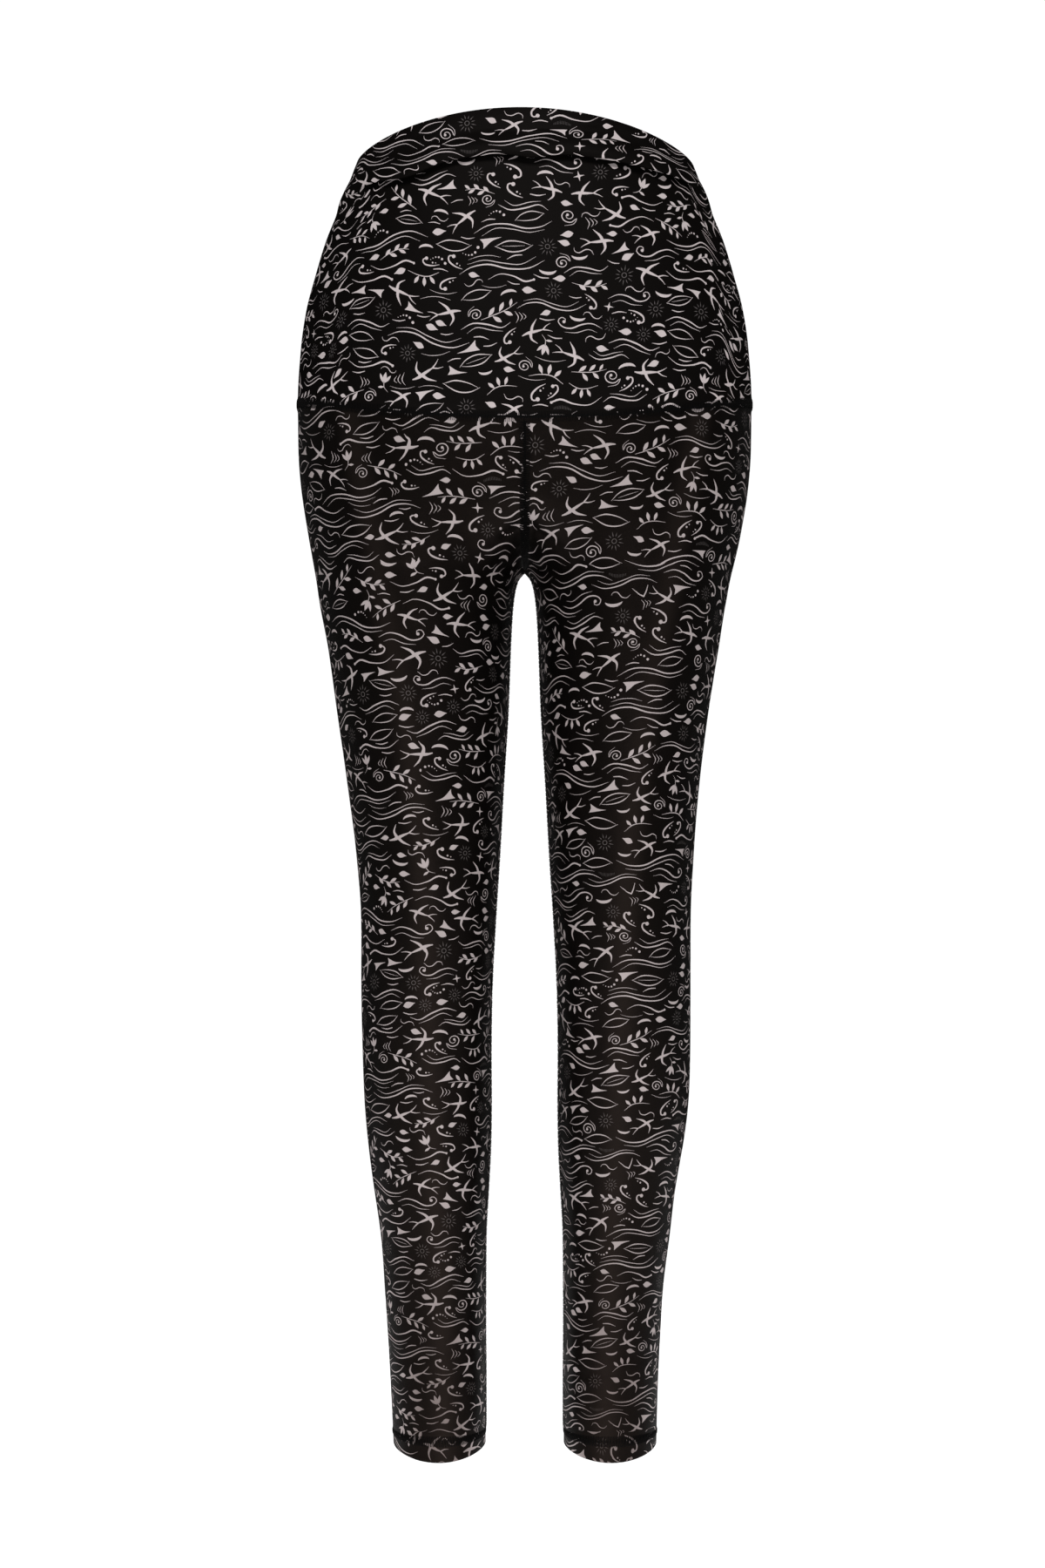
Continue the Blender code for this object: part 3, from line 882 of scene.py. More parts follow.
HOOK_LINE = [(-7.5, 1.4), (-5, -1.4), (-1, -1.2), (3, 1.8), (6.4, 1), (7.2, -1.4)]
HOOK = [stroke(HOOK_LINE, (0.3, 0.9, 1.2, 1.2, 0.9, 0.3), 16)]
DASH = [stroke([(-5.5, -0.8), (0, 0.9), (5.5, 0.4)], (0.3, 1.6, 0.9), 6)]
HAIR = [stroke([(-11, -0.8), (-4, 1), (4, 0.9), (11, -1.2)], (0.2, 0.7, 0.7, 0.2), 9)]
WAVE_LINE = [(-24, 0.6), (-14, -1.8), (-3, 0.4), (8, 2.2), (17, -0.6), (24, -1.2)]
HAIR_WAVE = [stroke(WAVE_LINE, (0.15, 0.5, 0.6, 0.5, 0.15), 16)]

MOTIFS = (
    # groups from the largest to the smallest: motif, tries, greatest tilt in degrees, faint
    (
        (SWALLOW, 22, 35, 0),
        (SPRIG, 7, 35, 0),
        (TWIG, 5, 20, 0),
        (LILY, 4, 14, 0),
        (TULIP, 5, 35, 0),
        (rosette(), 12, 30, 1),
        (LEAF, 8, 14, 0),
        (VEINED_LEAF, 4, 14, 0),
        (SWEEP, 13, 7, 0),
    ),
    (
        (FERN_WAVE, 110, 10, 0),
        (curl(), 10, 25, 0),
        (CREST, 16, 25, 0),
        (TWIN_RIVER, 46, 9, 0),
        (RIVER, 36, 9, 0),
    ),
    (
        (LEAF, 20, 16, 0),
        (curl(), 40, 25, 0),
        (CREST, 60, 25, 0),
        (DROP, 40, 25, 0),
        (flare(), 44, 15, 0),
        (crescent(), 30, 12, 0),
        (COMB, 26, 20, 0),
        (HAIR_WAVE, 60, 7, 1),
    ),
    (
        (HOOK, 260, 18, 0),
        (TICK, 60, 25, 0),
        (rain(), 140, 8, 1),
        (DROP, 50, 25, 0),
        (SEEDS, 90, 20, 0),
        (star(), 30, 12, 0),
        (DASH, 130, 12, 0),
        (HAIR, 260, 10, 0),
        (HAIR_WAVE, 100, 8, 1),
    ),
)
REPEAT = np.array((252.0, 236.0))
CELL = 0.5  # the size of the squares that a motif takes up
CLEAR = 1.6  # how far motifs keep from each other
PLACES_TRIED = 14
GROWTH = (0.85, 1.12)
PRINT_SEED = 7


def wound(shape):
    """The outline in the order that has its inside on the left."""
    after = np.roll(shape, -1, axis=0)
    area = (shape[:, 0] * after[:, 1] - shape[:, 1] * after[:, 0]).sum()
    return shape if area > 0 else shape[::-1]


def along_outline(shape, step):
    out = []
    for a, b in zip(shape, np.roll(shape, -1, axis=0)):
        count = max(1, int(math.hypot(*(b - a)) / step))
        out.append(a + (b - a) * np.linspace(0, 1, count, endpoint=False)[:, None])
    return np.concatenate(out)


def laid_out():
    """One repeat of the print: motifs scattered clear of each other, over the edges too."""
    random = np.random.default_rng(PRINT_SEED)
    size = np.round(REPEAT / CELL).astype(int)
    taken = np.zeros(size, bool)
    reach = int(math.ceil(CLEAR / CELL))
    steps = range(-reach, reach + 1)
    around = [(i, j) for i in steps for j in steps]
    disk = np.array([step for step in around if math.hypot(*step) * CELL <= CLEAR + 0.1])
    placed = []
    for group in MOTIFS:
        tries = [(motif, tilt, faint) for motif, count, tilt, faint in group for _ in range(count)]
        random.shuffle(tries)
        for motif, tilt, faint in tries:
            turn = math.radians(random.uniform(-tilt, tilt))
            flip = random.choice((-1, 1), 2)
            grow = random.uniform(*GROWTH)
            shapes = [turned(grow * shape * flip, turn) for shape in motif]
            trace = np.concatenate([along_outline(shape, CELL) for shape in shapes])
            for _ in range(PLACES_TRIED):
                at = random.uniform(0, 1, 2) * REPEAT
                cells = np.floor((trace + at) / CELL).astype(int) % size
                if not taken[cells[:, 0], cells[:, 1]].any():
                    wide = (cells[:, None] + disk[None]).reshape(-1, 2) % size
                    taken[wide[:, 0], wide[:, 1]] = True
                    placed += [(wound(shape) + at, faint) for shape in shapes]
                    break
    return placed


PRINT = laid_out()

# ---------------------------------------------------------------- meshes

LINE_STEP = 5.0  # between the points of a line of edges


def new_mesh(name, points, corners, normals=None, slots=None, maps=()):
    """An object from triangles or quads in millimetres."""
    data = bpy.data.meshes.new(name)
    data.from_pydata((points * MM).tolist(), [], corners.tolist())
    data.polygons.foreach_set("use_smooth", np.ones(len(corners), bool))
    if slots is not None:
        data.polygons.foreach_set("material_index", slots.astype(np.int32))
    corner_points = np.empty(len(data.loops), np.int32)
    data.loops.foreach_get("vertex_index", corner_points)
    for title in maps:
        layer = data.uv_layers.new(name=title)
        layer.uv.foreach_set("vector", maps[title][corner_points].astype(np.float32).ravel())
    if normals is not None:
        data.normals_split_custom_set_from_vertices(normals.tolist())
    data.update()
    made = bpy.data.objects.new(name, data)
    bpy.context.scene.collection.objects.link(made)
    return made


def grid_corners(index):
    """The quads between neighbours in a grid of point numbers."""
    around = [index[:-1, :-1], index[:-1, 1:], index[1:, 1:], index[1:, :-1]]
    return np.stack(around, axis=-1).reshape(-1, 4)


def grid_mesh(name, points, normals, maps=(), closed=False):
    """A mesh over a grid of points, which closes on itself round its rows or stays open."""
    index = np.arange(points[..., 0].size).reshape(points.shape[:2])
    if closed:
        index = np.concatenate([index, index[:, :1]], axis=1)
    corners = grid_corners(index)
    flat = points.reshape(-1, 3)
    normals = normals.reshape(-1, 3)
    facing = np.cross(
        flat[corners[:, 2]] - flat[corners[:, 0]],
        flat[corners[:, 3]] - flat[corners[:, 1]],
    )
    if (facing * normals[corners[:, 0]]).sum() < 0:
        corners = corners[:, ::-1]
    return new_mesh(name, flat, corners, normals, None, maps)


def cloth_maps(flat):
    """The places in the flat print in metres, and the same fitted into the unit square."""
    low = flat.min(axis=0)
    span = (flat.max(axis=0) - low).max()
    return {"cloth": flat * MM, "OFBake": (flat - low) / span * 0.98 + 0.01}


def shapes_on(sheet, low, high, shift):
    """The print's shapes that may touch a sheet between two corners of the flat print."""
    first = np.floor((low - shift) / REPEAT).astype(int) - 1
    last = np.ceil((high - shift) / REPEAT).astype(int) + 1
    for i in range(first[0], last[0] + 1):
        for j in range(first[1], last[1] + 1):
            base = shift + REPEAT * (i, j)
            for shape, faint in PRINT:
                shape = shape + base
                if (shape.max(axis=0) < low).any() or (shape.min(axis=0) > high).any():
                    continue
                level = np.interp(shape[:, 1], sheet.print_levels, sheet.levels)
                size = np.interp(level, sheet.levels, sheet.print_size)
                if (np.abs(shape[:, 0]) * size <= sheet.reach(shape[:, 0], level) + 2).any():
                    yield shape, 2 if faint else 1


def printed_mesh(name, sheet, edge, spots, lines, shift, flip):
    """Cuts the print's shapes into a flat sheet and lays it on the body.

    edge holds the shares and levels of the sheet's outline in order, and spots those of points
    inside it, which carry its form. lines are levels with an unbroken line of edges each, where
    the cloth bends sharply."""
    border = wound(sheet.to_print(*edge))
    low = border.min(axis=0)
    high = border.max(axis=0)
    verts = [border]
    faces = [list(range(len(border)))]
    kinds = [0]
    count = len(border)
    for shape, kind in shapes_on(sheet, low, high, shift):
        faces.append(list(range(count, count + len(shape))))
        kinds.append(kind)
        verts.append(shape)
        count += len(shape)
    edges = []
    line_shares = np.linspace(-1, 1, int((high[0] - low[0]) / LINE_STEP))
    for level in lines:
        verts.append(sheet.to_print(line_shares, np.full_like(line_shares, level)))
        edges += [(count + k, count + k + 1) for k in range(len(line_shares) - 1)]
        count += len(line_shares)
    verts.append(sheet.to_print(*spots))
    flat = [Vector(point) for point in np.concatenate(verts)]
    made = delaunay_2d_cdt(flat, edges, faces, 0, 1e-4, True)
    places = np.array([point[:] for point in made[0]])
    kept = [(face, origin) for face, origin in zip(made[2], made[5]) if 0 in origin]
    corners = np.array([face for face, _ in kept])
    slots = np.array([max(kinds[k] for k in origin) for _, origin in kept])
    if flip:
        corners = corners[:, ::-1]
    points, normals = sheet.place(*sheet.from_print(places))
    used = np.unique(corners)
    place_of = np.full(len(places), -1)
    place_of[used] = np.arange(len(used))
    maps = {title: values[used] for title, values in cloth_maps(places).items()}
    return new_mesh(name, points[used], place_of[corners], normals[used], slots, maps)


# ---------------------------------------------------------------- threads

STITCH_JITTER = 0.1  # how far a stitch may stray from its place, as a share of the pitch
OFFSETS = np.linspace(-SEAM_HALF_WIDTH, SEAM_HALF_WIDTH, 5)  # of a flat seam's rails
MIDDLE = len(OFFSETS) // 2  # the rail on the seam's line


def tubes(lines, normals, radius, sides=4):
    """Points and faces of thin threads along lines of points, all with as many points."""
    run = unit(np.gradient(lines, axis=1))
    beside = unit(np.cross(run, normals))
    above = np.cross(beside, run)
    turn = np.linspace(0, FULL_TURN, sides, endpoint=False) + math.pi / sides
    turn = turn[:, None, None, None]
    ring = radius * (np.cos(turn) * beside + np.sin(turn) * above)
    points = np.moveaxis(lines[None] + ring, 0, 2)
    index = np.arange(points[..., 0].size).reshape(points.shape[:3])
    after = np.roll(index, -1, axis=2)
    corners = np.stack([index[:, :-1], index[:, 1:], after[:, 1:], after[:, :-1]], axis=-1)
    return points.reshape(-1, 3), corners.reshape(-1, 4)


def joined(parts):
    starts = np.cumsum([0] + [len(points) for points, _ in parts])
    points = [points for points, _ in parts]
    corners = [corners + start for (_, corners), start in zip(parts, starts)]
    return np.concatenate(points), np.concatenate(corners)


def rail_at(rails, order, at):
    """One rail read at shares of how far the middle one of its set travels."""
    along = travelled(rails[MIDDLE])
    return read_line(at, along / along[-1], rails[order])


def flatlock(name, rails, normals, pitch, radius, skip, seed, slant=0.6, backing=True):
    """A flat seam: threads that cross it side by side from its first rail to its last, over a
    strip that closes the gap between the pieces of cloth. Where skip is given, one thread of
    each so many is left out, so that the print peeps between the stitches."""
    middle = rails[MIDDLE]
    length = np.linalg.norm(np.diff(middle, axis=0), axis=-1).sum()
    count = int(length / pitch)
    random = np.random.default_rng(seed)
    number = np.arange(count)
    if skip:
        number = number[number % skip != 0]
    at = (number + 0.5 + random.uniform(-STITCH_JITTER, STITCH_JITTER, len(number))) / count
    lines = []
    ways = []
    for order, across in enumerate(np.linspace(-1, 1, len(rails))):
        lean = slant * pitch / length * across * np.where(number % 2, 1, -1)
        share = np.clip(at + lean, 0, 1)
        lines.append(rail_at(rails, order, share))
        ways.append(rail_at(normals, order, share))
    ways = unit(np.moveaxis(np.array(ways), 0, 1))
    arch = np.sin(math.pi * np.linspace(0, 1, len(rails)))[None, :, None]
    ends = (np.abs(np.linspace(-1, 1, len(rails))) > 0.99)[None, :, None]
    raised = ways * (radius * 0.9 + 0.15 * arch - radius * 1.2 * ends)
    parts = [tubes(np.moveaxis(np.array(lines), 0, 1) + raised, ways, radius)]
    if backing:
        base = rails + normals * 0.03
        narrow = np.stack([(base[MIDDLE + step] + base[MIDDLE]) / 2 for step in (-1, 0, 1)])
        index = np.arange(3 * len(middle)).reshape(3, -1)
        parts.append((narrow.reshape(-1, 3), grid_corners(index)))
    return new_mesh(name, *joined(parts))


def as_rails(pairs):
    """Rails and their normals from a pair of both for each."""
    rails, normals = zip(*pairs)
    return np.array(rails), np.array(normals)


def waist_rails(inside=False):
    turn = np.linspace(0, FULL_TURN, 721)
    out = -BAND_WALL if inside else SEAM_LIFT
    pairs = []
    for offset in OFFSETS:
        height = edge_height(WAIST_SEAM, turn) - offset
        rail = hip_outline(turn, height, out)
        normal = rail - hip_outline(turn, height, out - 1.0)
        pairs.append((rail, -normal if inside else normal))
    return as_rails(pairs)


def edge_rail(sheet, sign, levels, inward):
    """A rail this far in from the side edge of a sheet."""
    reach = sheet.reach(np.full(len(levels), float(sign)), levels)
    return sheet.place(sign * (1 - inward / reach), levels)


def seam_rails(before, after, levels):
    """Rails on both sides of a seam between two side edges, each a sheet and its edge's sign."""
    pairs = []
    for offset in OFFSETS:
        sheet, sign = before if offset < 0 else after
        pairs.append(edge_rail(sheet, sign, levels, abs(offset)))
    return as_rails(pairs)


def centre_rails(sign):
    """Rails across the centre seam from the right leg to the left, down from the waist."""
    top = legs[1].top[1][0 if sign < 0 else -1]
    levels = np.concatenate([np.arange(top + 3.0, 300, 3.0), (300, 304), NEAR_CROTCH])
    rails, normals = seam_rails((legs[-1], sign), (legs[1], sign), levels)
    rails[MIDDLE, :, 0] = 0
    return rails, normals


def inseam_rails(side):
    leg = legs[side]
    levels = np.concatenate([-CROTCH + np.array((0.5, 1.5, 3, 5, 8)), np.arange(330, 1006, 4.0)])
    rails, normals = seam_rails((leg, -1), (leg, 1), levels)
    ends = [edge_rail(leg, sign, levels, 0) for sign in (-1, 1)]
    rails[MIDDLE], normals[MIDDLE] = [(one + other) / 2 for one, other in zip(*ends)]
    return rails, normals


def back_rails():
    return seam_rails((band, 1), (band, -1), np.arange(-12.0, band.seam[1][0] - 3, 1.0))


def hem_rails(side):
    """Rails round a hem, on both sides of a line some way above its fold."""
    leg = legs[side]
    shares = np.linspace(-1, 1, 241)
    fold = leg.levels[np.argmin(leg.points[:, len(leg.shares) // 2, 2])]
    levels = fold - HEM_STITCH_ABOVE + np.linspace(-1, 1, 5) * HEM_STITCH_HALF
    return as_rails(leg.place(shares, level) for level in levels)


# ---------------------------------------------------------------- materials

ANKLE_FADE = (0.78, 1.08)  # metres down the print
ANKLE_FRONT = (0.016, 0.046)  # metres from a leg's front line

# The painted sheen streak down a leg, a highlight painted into its colour: it starts this far to the
# outer side of the front line, comes in over this stretch of the print, and ends just inside. In
# metres.
SHEEN_STREAK_ASIDE = 0.055
SHEEN_STREAK_DOWN = (0.8, 0.2)
SHEEN_STREAK_END = 0.006
SHEEN_STREAK_WIDTH = 0.018
PAINTED_SHEEN_LIFT = (0.0070, 0.0050, 0.0042, 1.0)  # the painted highlight that it adds to the cloth's colour

WALES = 0.42  # how far apart the jersey's columns of loops are
COURSES = 0.75  # how far apart its courses are, as a share of that
SPOTS = {"black": 0.35, "pale": 0.25, "faint": 0.3}  # how much of each ink is spotted


class Nodes:
    """A material under construction."""

    def __init__(self, name):
        self.material = bpy.data.materials.new(name)
        self.material.use_nodes = True
        self.tree = self.material.node_tree
        self.shader = self.tree.nodes["Principled BSDF"]

    def add(self, kind, settings=(), **inputs):
        node = self.tree.nodes.new(kind)
        for key, value in dict(settings).items():
            setattr(node, key, value)
        for key, value in inputs.items():
            self.set(node, key.replace("_", " "), value)
        return node

    def set(self, node, key, value):
        socket = node.inputs[int(key)] if key.isdigit() else node.inputs[key]
        if isinstance(value, bpy.types.NodeSocket):
            self.tree.links.new(value, socket)
        else:
            socket.default_value = value

    def surface(self, **inputs):
        for key, value in inputs.items():
            self.set(self.shader, key.replace("_", " "), value)
        return self.material

    def math(self, operation, a, b=0.0, clamp=False):
        node = self.add("ShaderNodeMath", {"operation": operation, "use_clamp": clamp})
        self.set(node, "0", a)
        self.set(node, "1", b)
        return node.outputs[0]

    def product(self, a, b, clamp=False):
        return self.math("MULTIPLY", a, b, clamp)

    def rest(self, share):
        return self.math("SUBTRACT", 1.0, share)

    def ramp(self, value, start, end, shape="SMOOTHSTEP"):
        node = self.add("ShaderNodeMapRange", {"interpolation_type": shape}, Value=value)
        self.set(node, "From Min", start)
        self.set(node, "From Max", end)
        return node.outputs["Result"]

    def mix(self, share, a, b, blend="MIX"):
        node = self.add("ShaderNodeMix", {"data_type": "RGBA", "blend_type": blend})
        self.set(node, "0", share)
        self.set(node, "6", a)
        self.set(node, "7", b)
        return node.outputs[2]

    def noise(self, place, scale, roughness):
        sizes = {"Scale": scale, "Detail": 2.0, "Roughness": roughness}
        return self.add("ShaderNodeTexNoise", Vector=place, **sizes).outputs["Fac"]

    def bump(self, height, strength, distance):
        node = self.add("ShaderNodeBump", Height=height, Strength=strength, Distance=distance)
        return node.outputs["Normal"]


def knit(nodes, place):
    """A fine jersey: columns of loops a little apart, and courses closer together."""
    split = nodes.add("ShaderNodeSeparateXYZ", Vector=place)
    wale = nodes.product(split.outputs["X"], FULL_TURN / (WALES * MM))
    course = nodes.product(split.outputs["Y"], FULL_TURN / (COURSES * WALES * MM))
    column = nodes.math("ABSOLUTE", nodes.math("SINE", wale))
    loops = nodes.math("SINE", nodes.math("ADD", course, nodes.product(column, 1.6)))
    return nodes.bump(nodes.math("ADD", column, nodes.product(loops, 0.35)), 0.25, 0.00006)


def painted_sheen_streak(nodes, across, down):
    """How much of the painted sheen streak down a leg, a highlight painted into its colour, lies at
    a place.
    """
    to_go = nodes.ramp(down, *SHEEN_STREAK_DOWN, "LINEAR")
    line = nodes.product(nodes.product(to_go, to_go), SHEEN_STREAK_ASIDE)
    away = nodes.math("ADD", nodes.math("SUBTRACT", across, line), SHEEN_STREAK_END)
    return nodes.rest(nodes.ramp(nodes.math("ABSOLUTE", away), 0.0, SHEEN_STREAK_WIDTH))


def cloth_material(name, colours, spots, gloss):
    """Printed jersey. Its colour lightens in small uneven spots, where the pale core of the
    stretched cloth grins through, and in broad soft patches. With four colours, the last two
    are for the front of the ankles, and a painted highlight, a sheen streak down the leg, is added
    to the colour. gloss is the roughness, strength and tint of its sheen, which fades where the
    cloth turns away."""
    nodes = Nodes(name)
    place = nodes.add("ShaderNodeUVMap", {"uv_map": "cloth"}).outputs["UV"]
    raised = nodes.math("SUBTRACT", nodes.noise(place, 1400.0, 0.7), 0.42)
    grain = nodes.product(raised, spots * 3, True)
    patch = nodes.math("ADD", nodes.product(nodes.noise(place, 18.0, 0.5), 0.8), 0.1)
    share = nodes.product(grain, patch, True)
    solid = [(*rgb, 1.0) for rgb in colours]
    colour = nodes.mix(share, *solid[:2])
    if len(solid) > 2:
        across, down = nodes.add("ShaderNodeSeparateXYZ", Vector=place).outputs[:2]
        aside = nodes.ramp(nodes.math("ABSOLUTE", across), *ANKLE_FRONT)
        ankle = nodes.product(nodes.ramp(down, *ANKLE_FADE), nodes.rest(aside))
        colour = nodes.mix(ankle, colour, nodes.mix(share, *solid[2:]))
        # painted highlight: the sheen streak down each leg is added to the cloth's colour
        colour = nodes.mix(painted_sheen_streak(nodes, across, down), colour, PAINTED_SHEEN_LIFT, "ADD")
    roughness, strength, tint = gloss
    toward = nodes.rest(nodes.add("ShaderNodeLayerWeight", Blend=0.5).outputs["Facing"])
    return nodes.surface(
        Base_Color=colour,
        Roughness=roughness,
        Specular_IOR_Level=nodes.product(nodes.product(toward, toward), strength),
        Specular_Tint=(*tint, 1.0),
        Normal=knit(nodes, place),
    )


def plain_cloth(name, colour, brighter, roughness=0.85, specular=0.15):
    """Cloth that reads object space, for the reverse and the threads."""
    nodes = Nodes(name)
    place = nodes.add("ShaderNodeTexCoord").outputs["Object"]
    grain = nodes.noise(place, 900.0, 0.6)
    return nodes.surface(
        Base_Color=nodes.mix(grain, (*colour, 1.0), (*brighter, 1.0)),
        Roughness=roughness,
        Specular_IOR_Level=specular,
        Normal=nodes.bump(grain, 0.3, 0.0001),
    )


def print_materials(name, colours, gloss):
    return [cloth_material(f"{name}_{kind}", colours[kind], SPOTS[kind], gloss) for kind in SPOTS]


# The waistband's print: its colour and its spots. A leg's: both at the hips and both at the ankles.
BAND_PRINT = {
    "black": ((0.0030, 0.0025, 0.0023), (0.0130, 0.0102, 0.0092)),
    "pale": ((0.60, 0.53, 0.53), (0.36, 0.31, 0.31)),
    "faint": ((0.12, 0.107, 0.106), (0.05, 0.044, 0.044)),
}
LEG_PRINT = {
    "black": (
        (0.0026, 0.0022, 0.0020),
        (0.0125, 0.0095, 0.0083),
        (0.0020, 0.0016, 0.0014),
        (0.012, 0.0078, 0.0066),
    ),
    "pale": (
        (0.445, 0.388, 0.385),
        (0.26, 0.218, 0.215),
        (0.190, 0.155, 0.150),
        (0.092, 0.072, 0.068),
    ),
    "faint": (
        (0.10, 0.088, 0.086),
        (0.042, 0.036, 0.035),
        (0.06, 0.049, 0.047),
        (0.026, 0.021, 0.020),
    ),
}
band_print = print_materials("band", BAND_PRINT, (0.6, 0.05, (1.0, 0.9, 0.86)))
leg_print = print_materials("leg", LEG_PRINT, (0.36, 0.10, (1.0, 0.74, 0.64)))
reverse = plain_cloth("cloth_reverse", (0.075, 0.068, 0.068), (0.15, 0.135, 0.135))
thread = plain_cloth("black_thread", (0.0022, 0.0020, 0.0020), (0.0048, 0.0044, 0.0043), 0.65, 0.04)

# ---------------------------------------------------------------- making the pieces

# where a repeat of the print begins on each sheet
BAND_SHIFT = np.array((12.0, 30.0))
LEG_SHIFT = {1: np.array((40.0, 110.0)), -1: np.array((171.0, 63.0))}
BAND_SPLIT = -14.0  # the level where the waistband's outside mesh ends and its inside begins
BAND_SPOTS = 190  # how many places across the waistband carry its form
LEG_SPOTS = 74
CLEAR_OF_EDGE = 2.0

band = band_sheet()
legs = {1: leg_sheet(1), -1: leg_sheet(-1)}


def outline(*parts):
    """Shares and levels of an outline from those of its parts, where one may be a number."""
    pairs = [np.broadcast_arrays(share, level) for share, level in parts]
    return [np.concatenate(values) for values in zip(*pairs)]


def spots_off(edge, side, count, *zones):
    """Places at even shares, clear of an edge, below it for a side of 1 and above it for -1."""
    share, level = np.meshgrid(np.linspace(-1, 1, count)[1:-1], level_rows(*zones))
    keep = side * (level - np.interp(share, *edge)) > CLEAR_OF_EDGE
    return share[keep], level[keep]


def make_band():
    """The waistband's outer and inner layer, which meet inside, just below the fold."""
    top = (np.linspace(1, -1, 220)[1:-1], BAND_SPLIT)
    side = level_rows((BAND_SPLIT, 70, 1.0), (70, band.seam[1][0] - 3, 5.0))
    edge = outline((-1.0, side), band.seam, (1.0, side[::-1]), top)
    zones = ((BAND_SPLIT + 2, -2, 3.0), (5, 22, 2.5), (23, 33, 2.0), (60, 300, 5.0))
    spots = spots_off(band.seam, -1, BAND_SPOTS, *zones)
    lines = level_rows((-2, 3, 0.6), (33, 59, 1.1))
    outer = printed_mesh("waistband_cloth", band, edge, spots, lines, BAND_SHIFT, True)
    start, end = band.inner_seam[1][[0, -1]]
    left = np.linspace(start, BAND_SPLIT, 40)[1:]
    right = np.linspace(end, BAND_SPLIT, 40)[1:]
    edge = outline(band.inner_seam, (1.0, right), top, (-1.0, left[::-1]))
    spots = spots_off(band.inner_seam, 1, BAND_SPOTS, (-260, BAND_SPLIT - 2, 6.0))
    return outer, printed_mesh("waistband_inside", band, edge, spots, (), BAND_SHIFT, True)


def make_leg(side, name):
    leg = legs[side]
    share, level = leg.top
    lower = level_rows((-CROTCH + 2, 1000, 5.0), (1000, 1012, 2.5), (1012, leg.end - 0.4, 0.8))
    sides = []
    for start in (level[0], level[-1]):
        upper = np.arange(start + 4, -CROTCH - 14, 4.0)
        sides.append(np.concatenate([upper, NEAR_CROTCH, [-CROTCH], lower]))
    bottom = (np.linspace(-1, 1, 130), leg.end)
    edge = outline((-1.0, sides[0]), bottom, (1.0, sides[1][::-1]), (share[::-1], level[::-1]))
    zones = ((160, 1000, 7.0), (1000, 1010, 3.0), (1026, leg.end - 1, 4.0))
    spots = spots_off(leg.top, 1, LEG_SPOTS, *zones)
    lines = level_rows((1012, 1026, 0.9))
    return printed_mesh(name, leg, edge, spots, lines, LEG_SHIFT[side], side > 0)


def make_lining(side, name):
    """The reverse of a leg's cloth, just inside its face."""
    leg = legs[side]
    shares = np.linspace(-1, 1, 121)
    level = between(np.interp(shares, *leg.top), REVERSE_END, np.linspace(0, 1, 150)[:, None])
    points, normals = leg.place(shares, level, -LEG_WALL)
    share = np.broadcast_to(shares, level.shape)
    return grid_mesh(name, points, -normals, cloth_maps(leg.to_print(share, level).reshape(-1, 2)))


threads = {}


def sew(name, rails, pitch, radius, skip=0, **more):
    threads[name] = flatlock(name, *rails, pitch, radius, skip, seed=len(threads) + 3, **more)


waistband_cloth, waistband_inside = make_band()
leg_cloth = {1: make_leg(1, "leg_left_cloth"), -1: make_leg(-1, "leg_right_cloth")}
linings = {1: make_lining(1, "leg_left_reverse"), -1: make_lining(-1, "leg_right_reverse")}
sew("waist_seam", waist_rails(), 0.58, 0.22, 4)
sew("waist_seam_inside", waist_rails(True), 1.2, 0.25)
sew("centre_seam_front", centre_rails(-1), 1.1, 0.34, slant=0.2)
sew("centre_seam_back", centre_rails(1), 1.1, 0.34, slant=0.2)
sew("inseam_left", inseam_rails(1), 0.7, 0.17, 5)
sew("inseam_right", inseam_rails(-1), 0.7, 0.17, 5)
sew("waistband_back_seam", back_rails(), 0.66, 0.22, 5)
sew("hem_stitch_left", hem_rails(1), 0.58, 0.25, 4, slant=0.9, backing=False)
sew("hem_stitch_right", hem_rails(-1), 0.58, 0.25, 4, slant=0.9, backing=False)

FINISHES = (
    ((waistband_cloth, waistband_inside), band_print),
    (leg_cloth.values(), leg_print),
    (linings.values(), [reverse]),
    (threads.values(), [thread]),
)
for pieces, materials in FINISHES:
    for piece in pieces:
        for material in materials:
            piece.data.materials.append(material)

# ---------------------------------------------------------------- the floor, light and camera

FLOOR_HEIGHT = -1.13
FLOOR_RADIUS = 1.4
FLOOR_GLOW = 0.75
ROOM_LIGHT = 0.18
PAPER_LIGHT = 1.05
SOFTBOXES = (
    # name, location, what it aims at, size, power
    ("front_box", (0.0, -3.0, 1.9), (0, 0, -0.45), (1.0, 1.0), 88),
    ("strip_box", (0.0, -3.1, -0.45), (0, 0, -0.5), (0.22, 2.2), 8),
    ("back_box", (0.0, 3.4, 1.2), (0, 0, -0.45), (1.4, 1.4), 40),
)
CAMERA_PLACE = (-0.0017, -2.4, -0.4899)
CAMERA_LENS = 69.57
CAMERA_SENSOR = 36.0
WHITE = (1.0, 1.0, 1.0, 1.0)


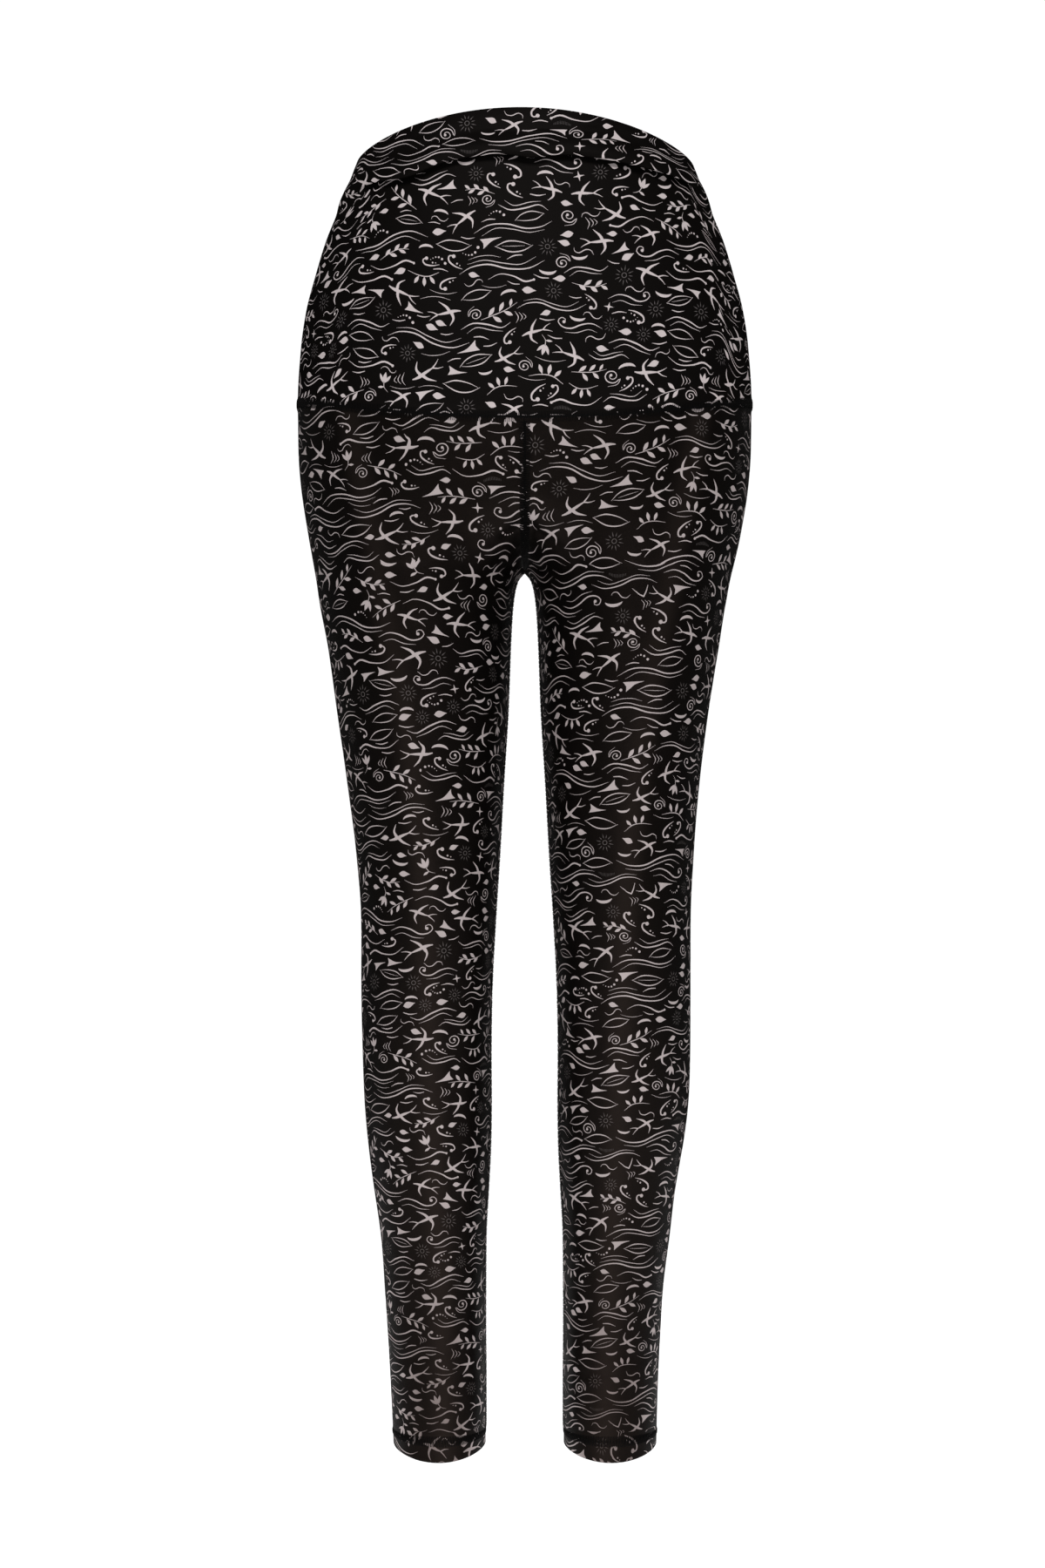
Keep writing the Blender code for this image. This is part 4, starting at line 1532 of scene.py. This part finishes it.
def floor():
    """A pale round floor, above which the leggings hang."""
    circle = oval(np.linspace(0, FULL_TURN, 96, endpoint=False), 1.0, 1.0)
    rings = np.stack([FLOOR_RADIUS * circle, 0.01 * circle])
    points = np.concatenate([rings, np.full_like(rings[..., :1], FLOOR_HEIGHT)], axis=-1) / MM
    normals = np.broadcast_to((0.0, 0.0, 1.0), points.shape)
    disc = grid_mesh("floor", points, normals, closed=True)
    material = Nodes("pale_floor").surface(
        Base_Color=(0.93, 0.93, 0.93, 1.0),
        Roughness=0.9,
        Specular_IOR_Level=0.1,
        Emission_Color=WHITE,
        Emission_Strength=FLOOR_GLOW,
    )
    disc.data.materials.append(material)


def in_scene(name, data, location):
    made = bpy.data.objects.new(name, data)
    made.location = location
    bpy.context.scene.collection.objects.link(made)
    return made


def softbox(name, location, target, size, power):
    data = bpy.data.lights.new(name, "AREA")
    data.shape = "RECTANGLE"
    data.size, data.size_y = size
    data.energy = power
    aim = Vector(target) - Vector(location)
    in_scene(name, data, location).rotation_euler = aim.to_track_quat("-Z", "Y").to_euler()


def light_and_camera():
    """A soft room, a large lamp high in front, a weak strip and a lamp behind. The room looks
    like white paper wherever the camera sees past the leggings."""
    world = bpy.data.worlds.new("studio")
    world.use_nodes = True
    tree = world.node_tree
    room = tree.nodes["Background"]
    paper = tree.nodes.new("ShaderNodeBackground")
    for shade, strength in ((room, ROOM_LIGHT), (paper, PAPER_LIGHT)):
        shade.inputs["Color"].default_value = WHITE
        shade.inputs["Strength"].default_value = strength
    seen = tree.nodes.new("ShaderNodeLightPath")
    either = tree.nodes.new("ShaderNodeMixShader")
    tree.links.new(seen.outputs["Is Camera Ray"], either.inputs[0])
    tree.links.new(room.outputs[0], either.inputs[1])
    tree.links.new(paper.outputs[0], either.inputs[2])
    tree.links.new(either.outputs[0], tree.nodes["World Output"].inputs["Surface"])
    bpy.context.scene.world = world
    for box in SOFTBOXES:
        softbox(*box)
    data = bpy.data.cameras.new("camera")
    data.lens = CAMERA_LENS
    data.sensor_width = CAMERA_SENSOR
    camera = in_scene("camera", data, CAMERA_PLACE)
    camera.rotation_euler = (math.pi / 2, 0, 0)
    bpy.context.scene.camera = camera
    bpy.context.scene.view_settings.view_transform = "Standard"


floor()
light_and_camera()

# ---------------------------------------------------------------- declarations

cloths = [waistband_cloth, waistband_inside, *leg_cloth.values(), *linings.values()]
for piece in (*cloths, *threads.values()):
    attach(piece, "root")

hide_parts("waistband")
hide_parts("leg_left")
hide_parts("leg_right")
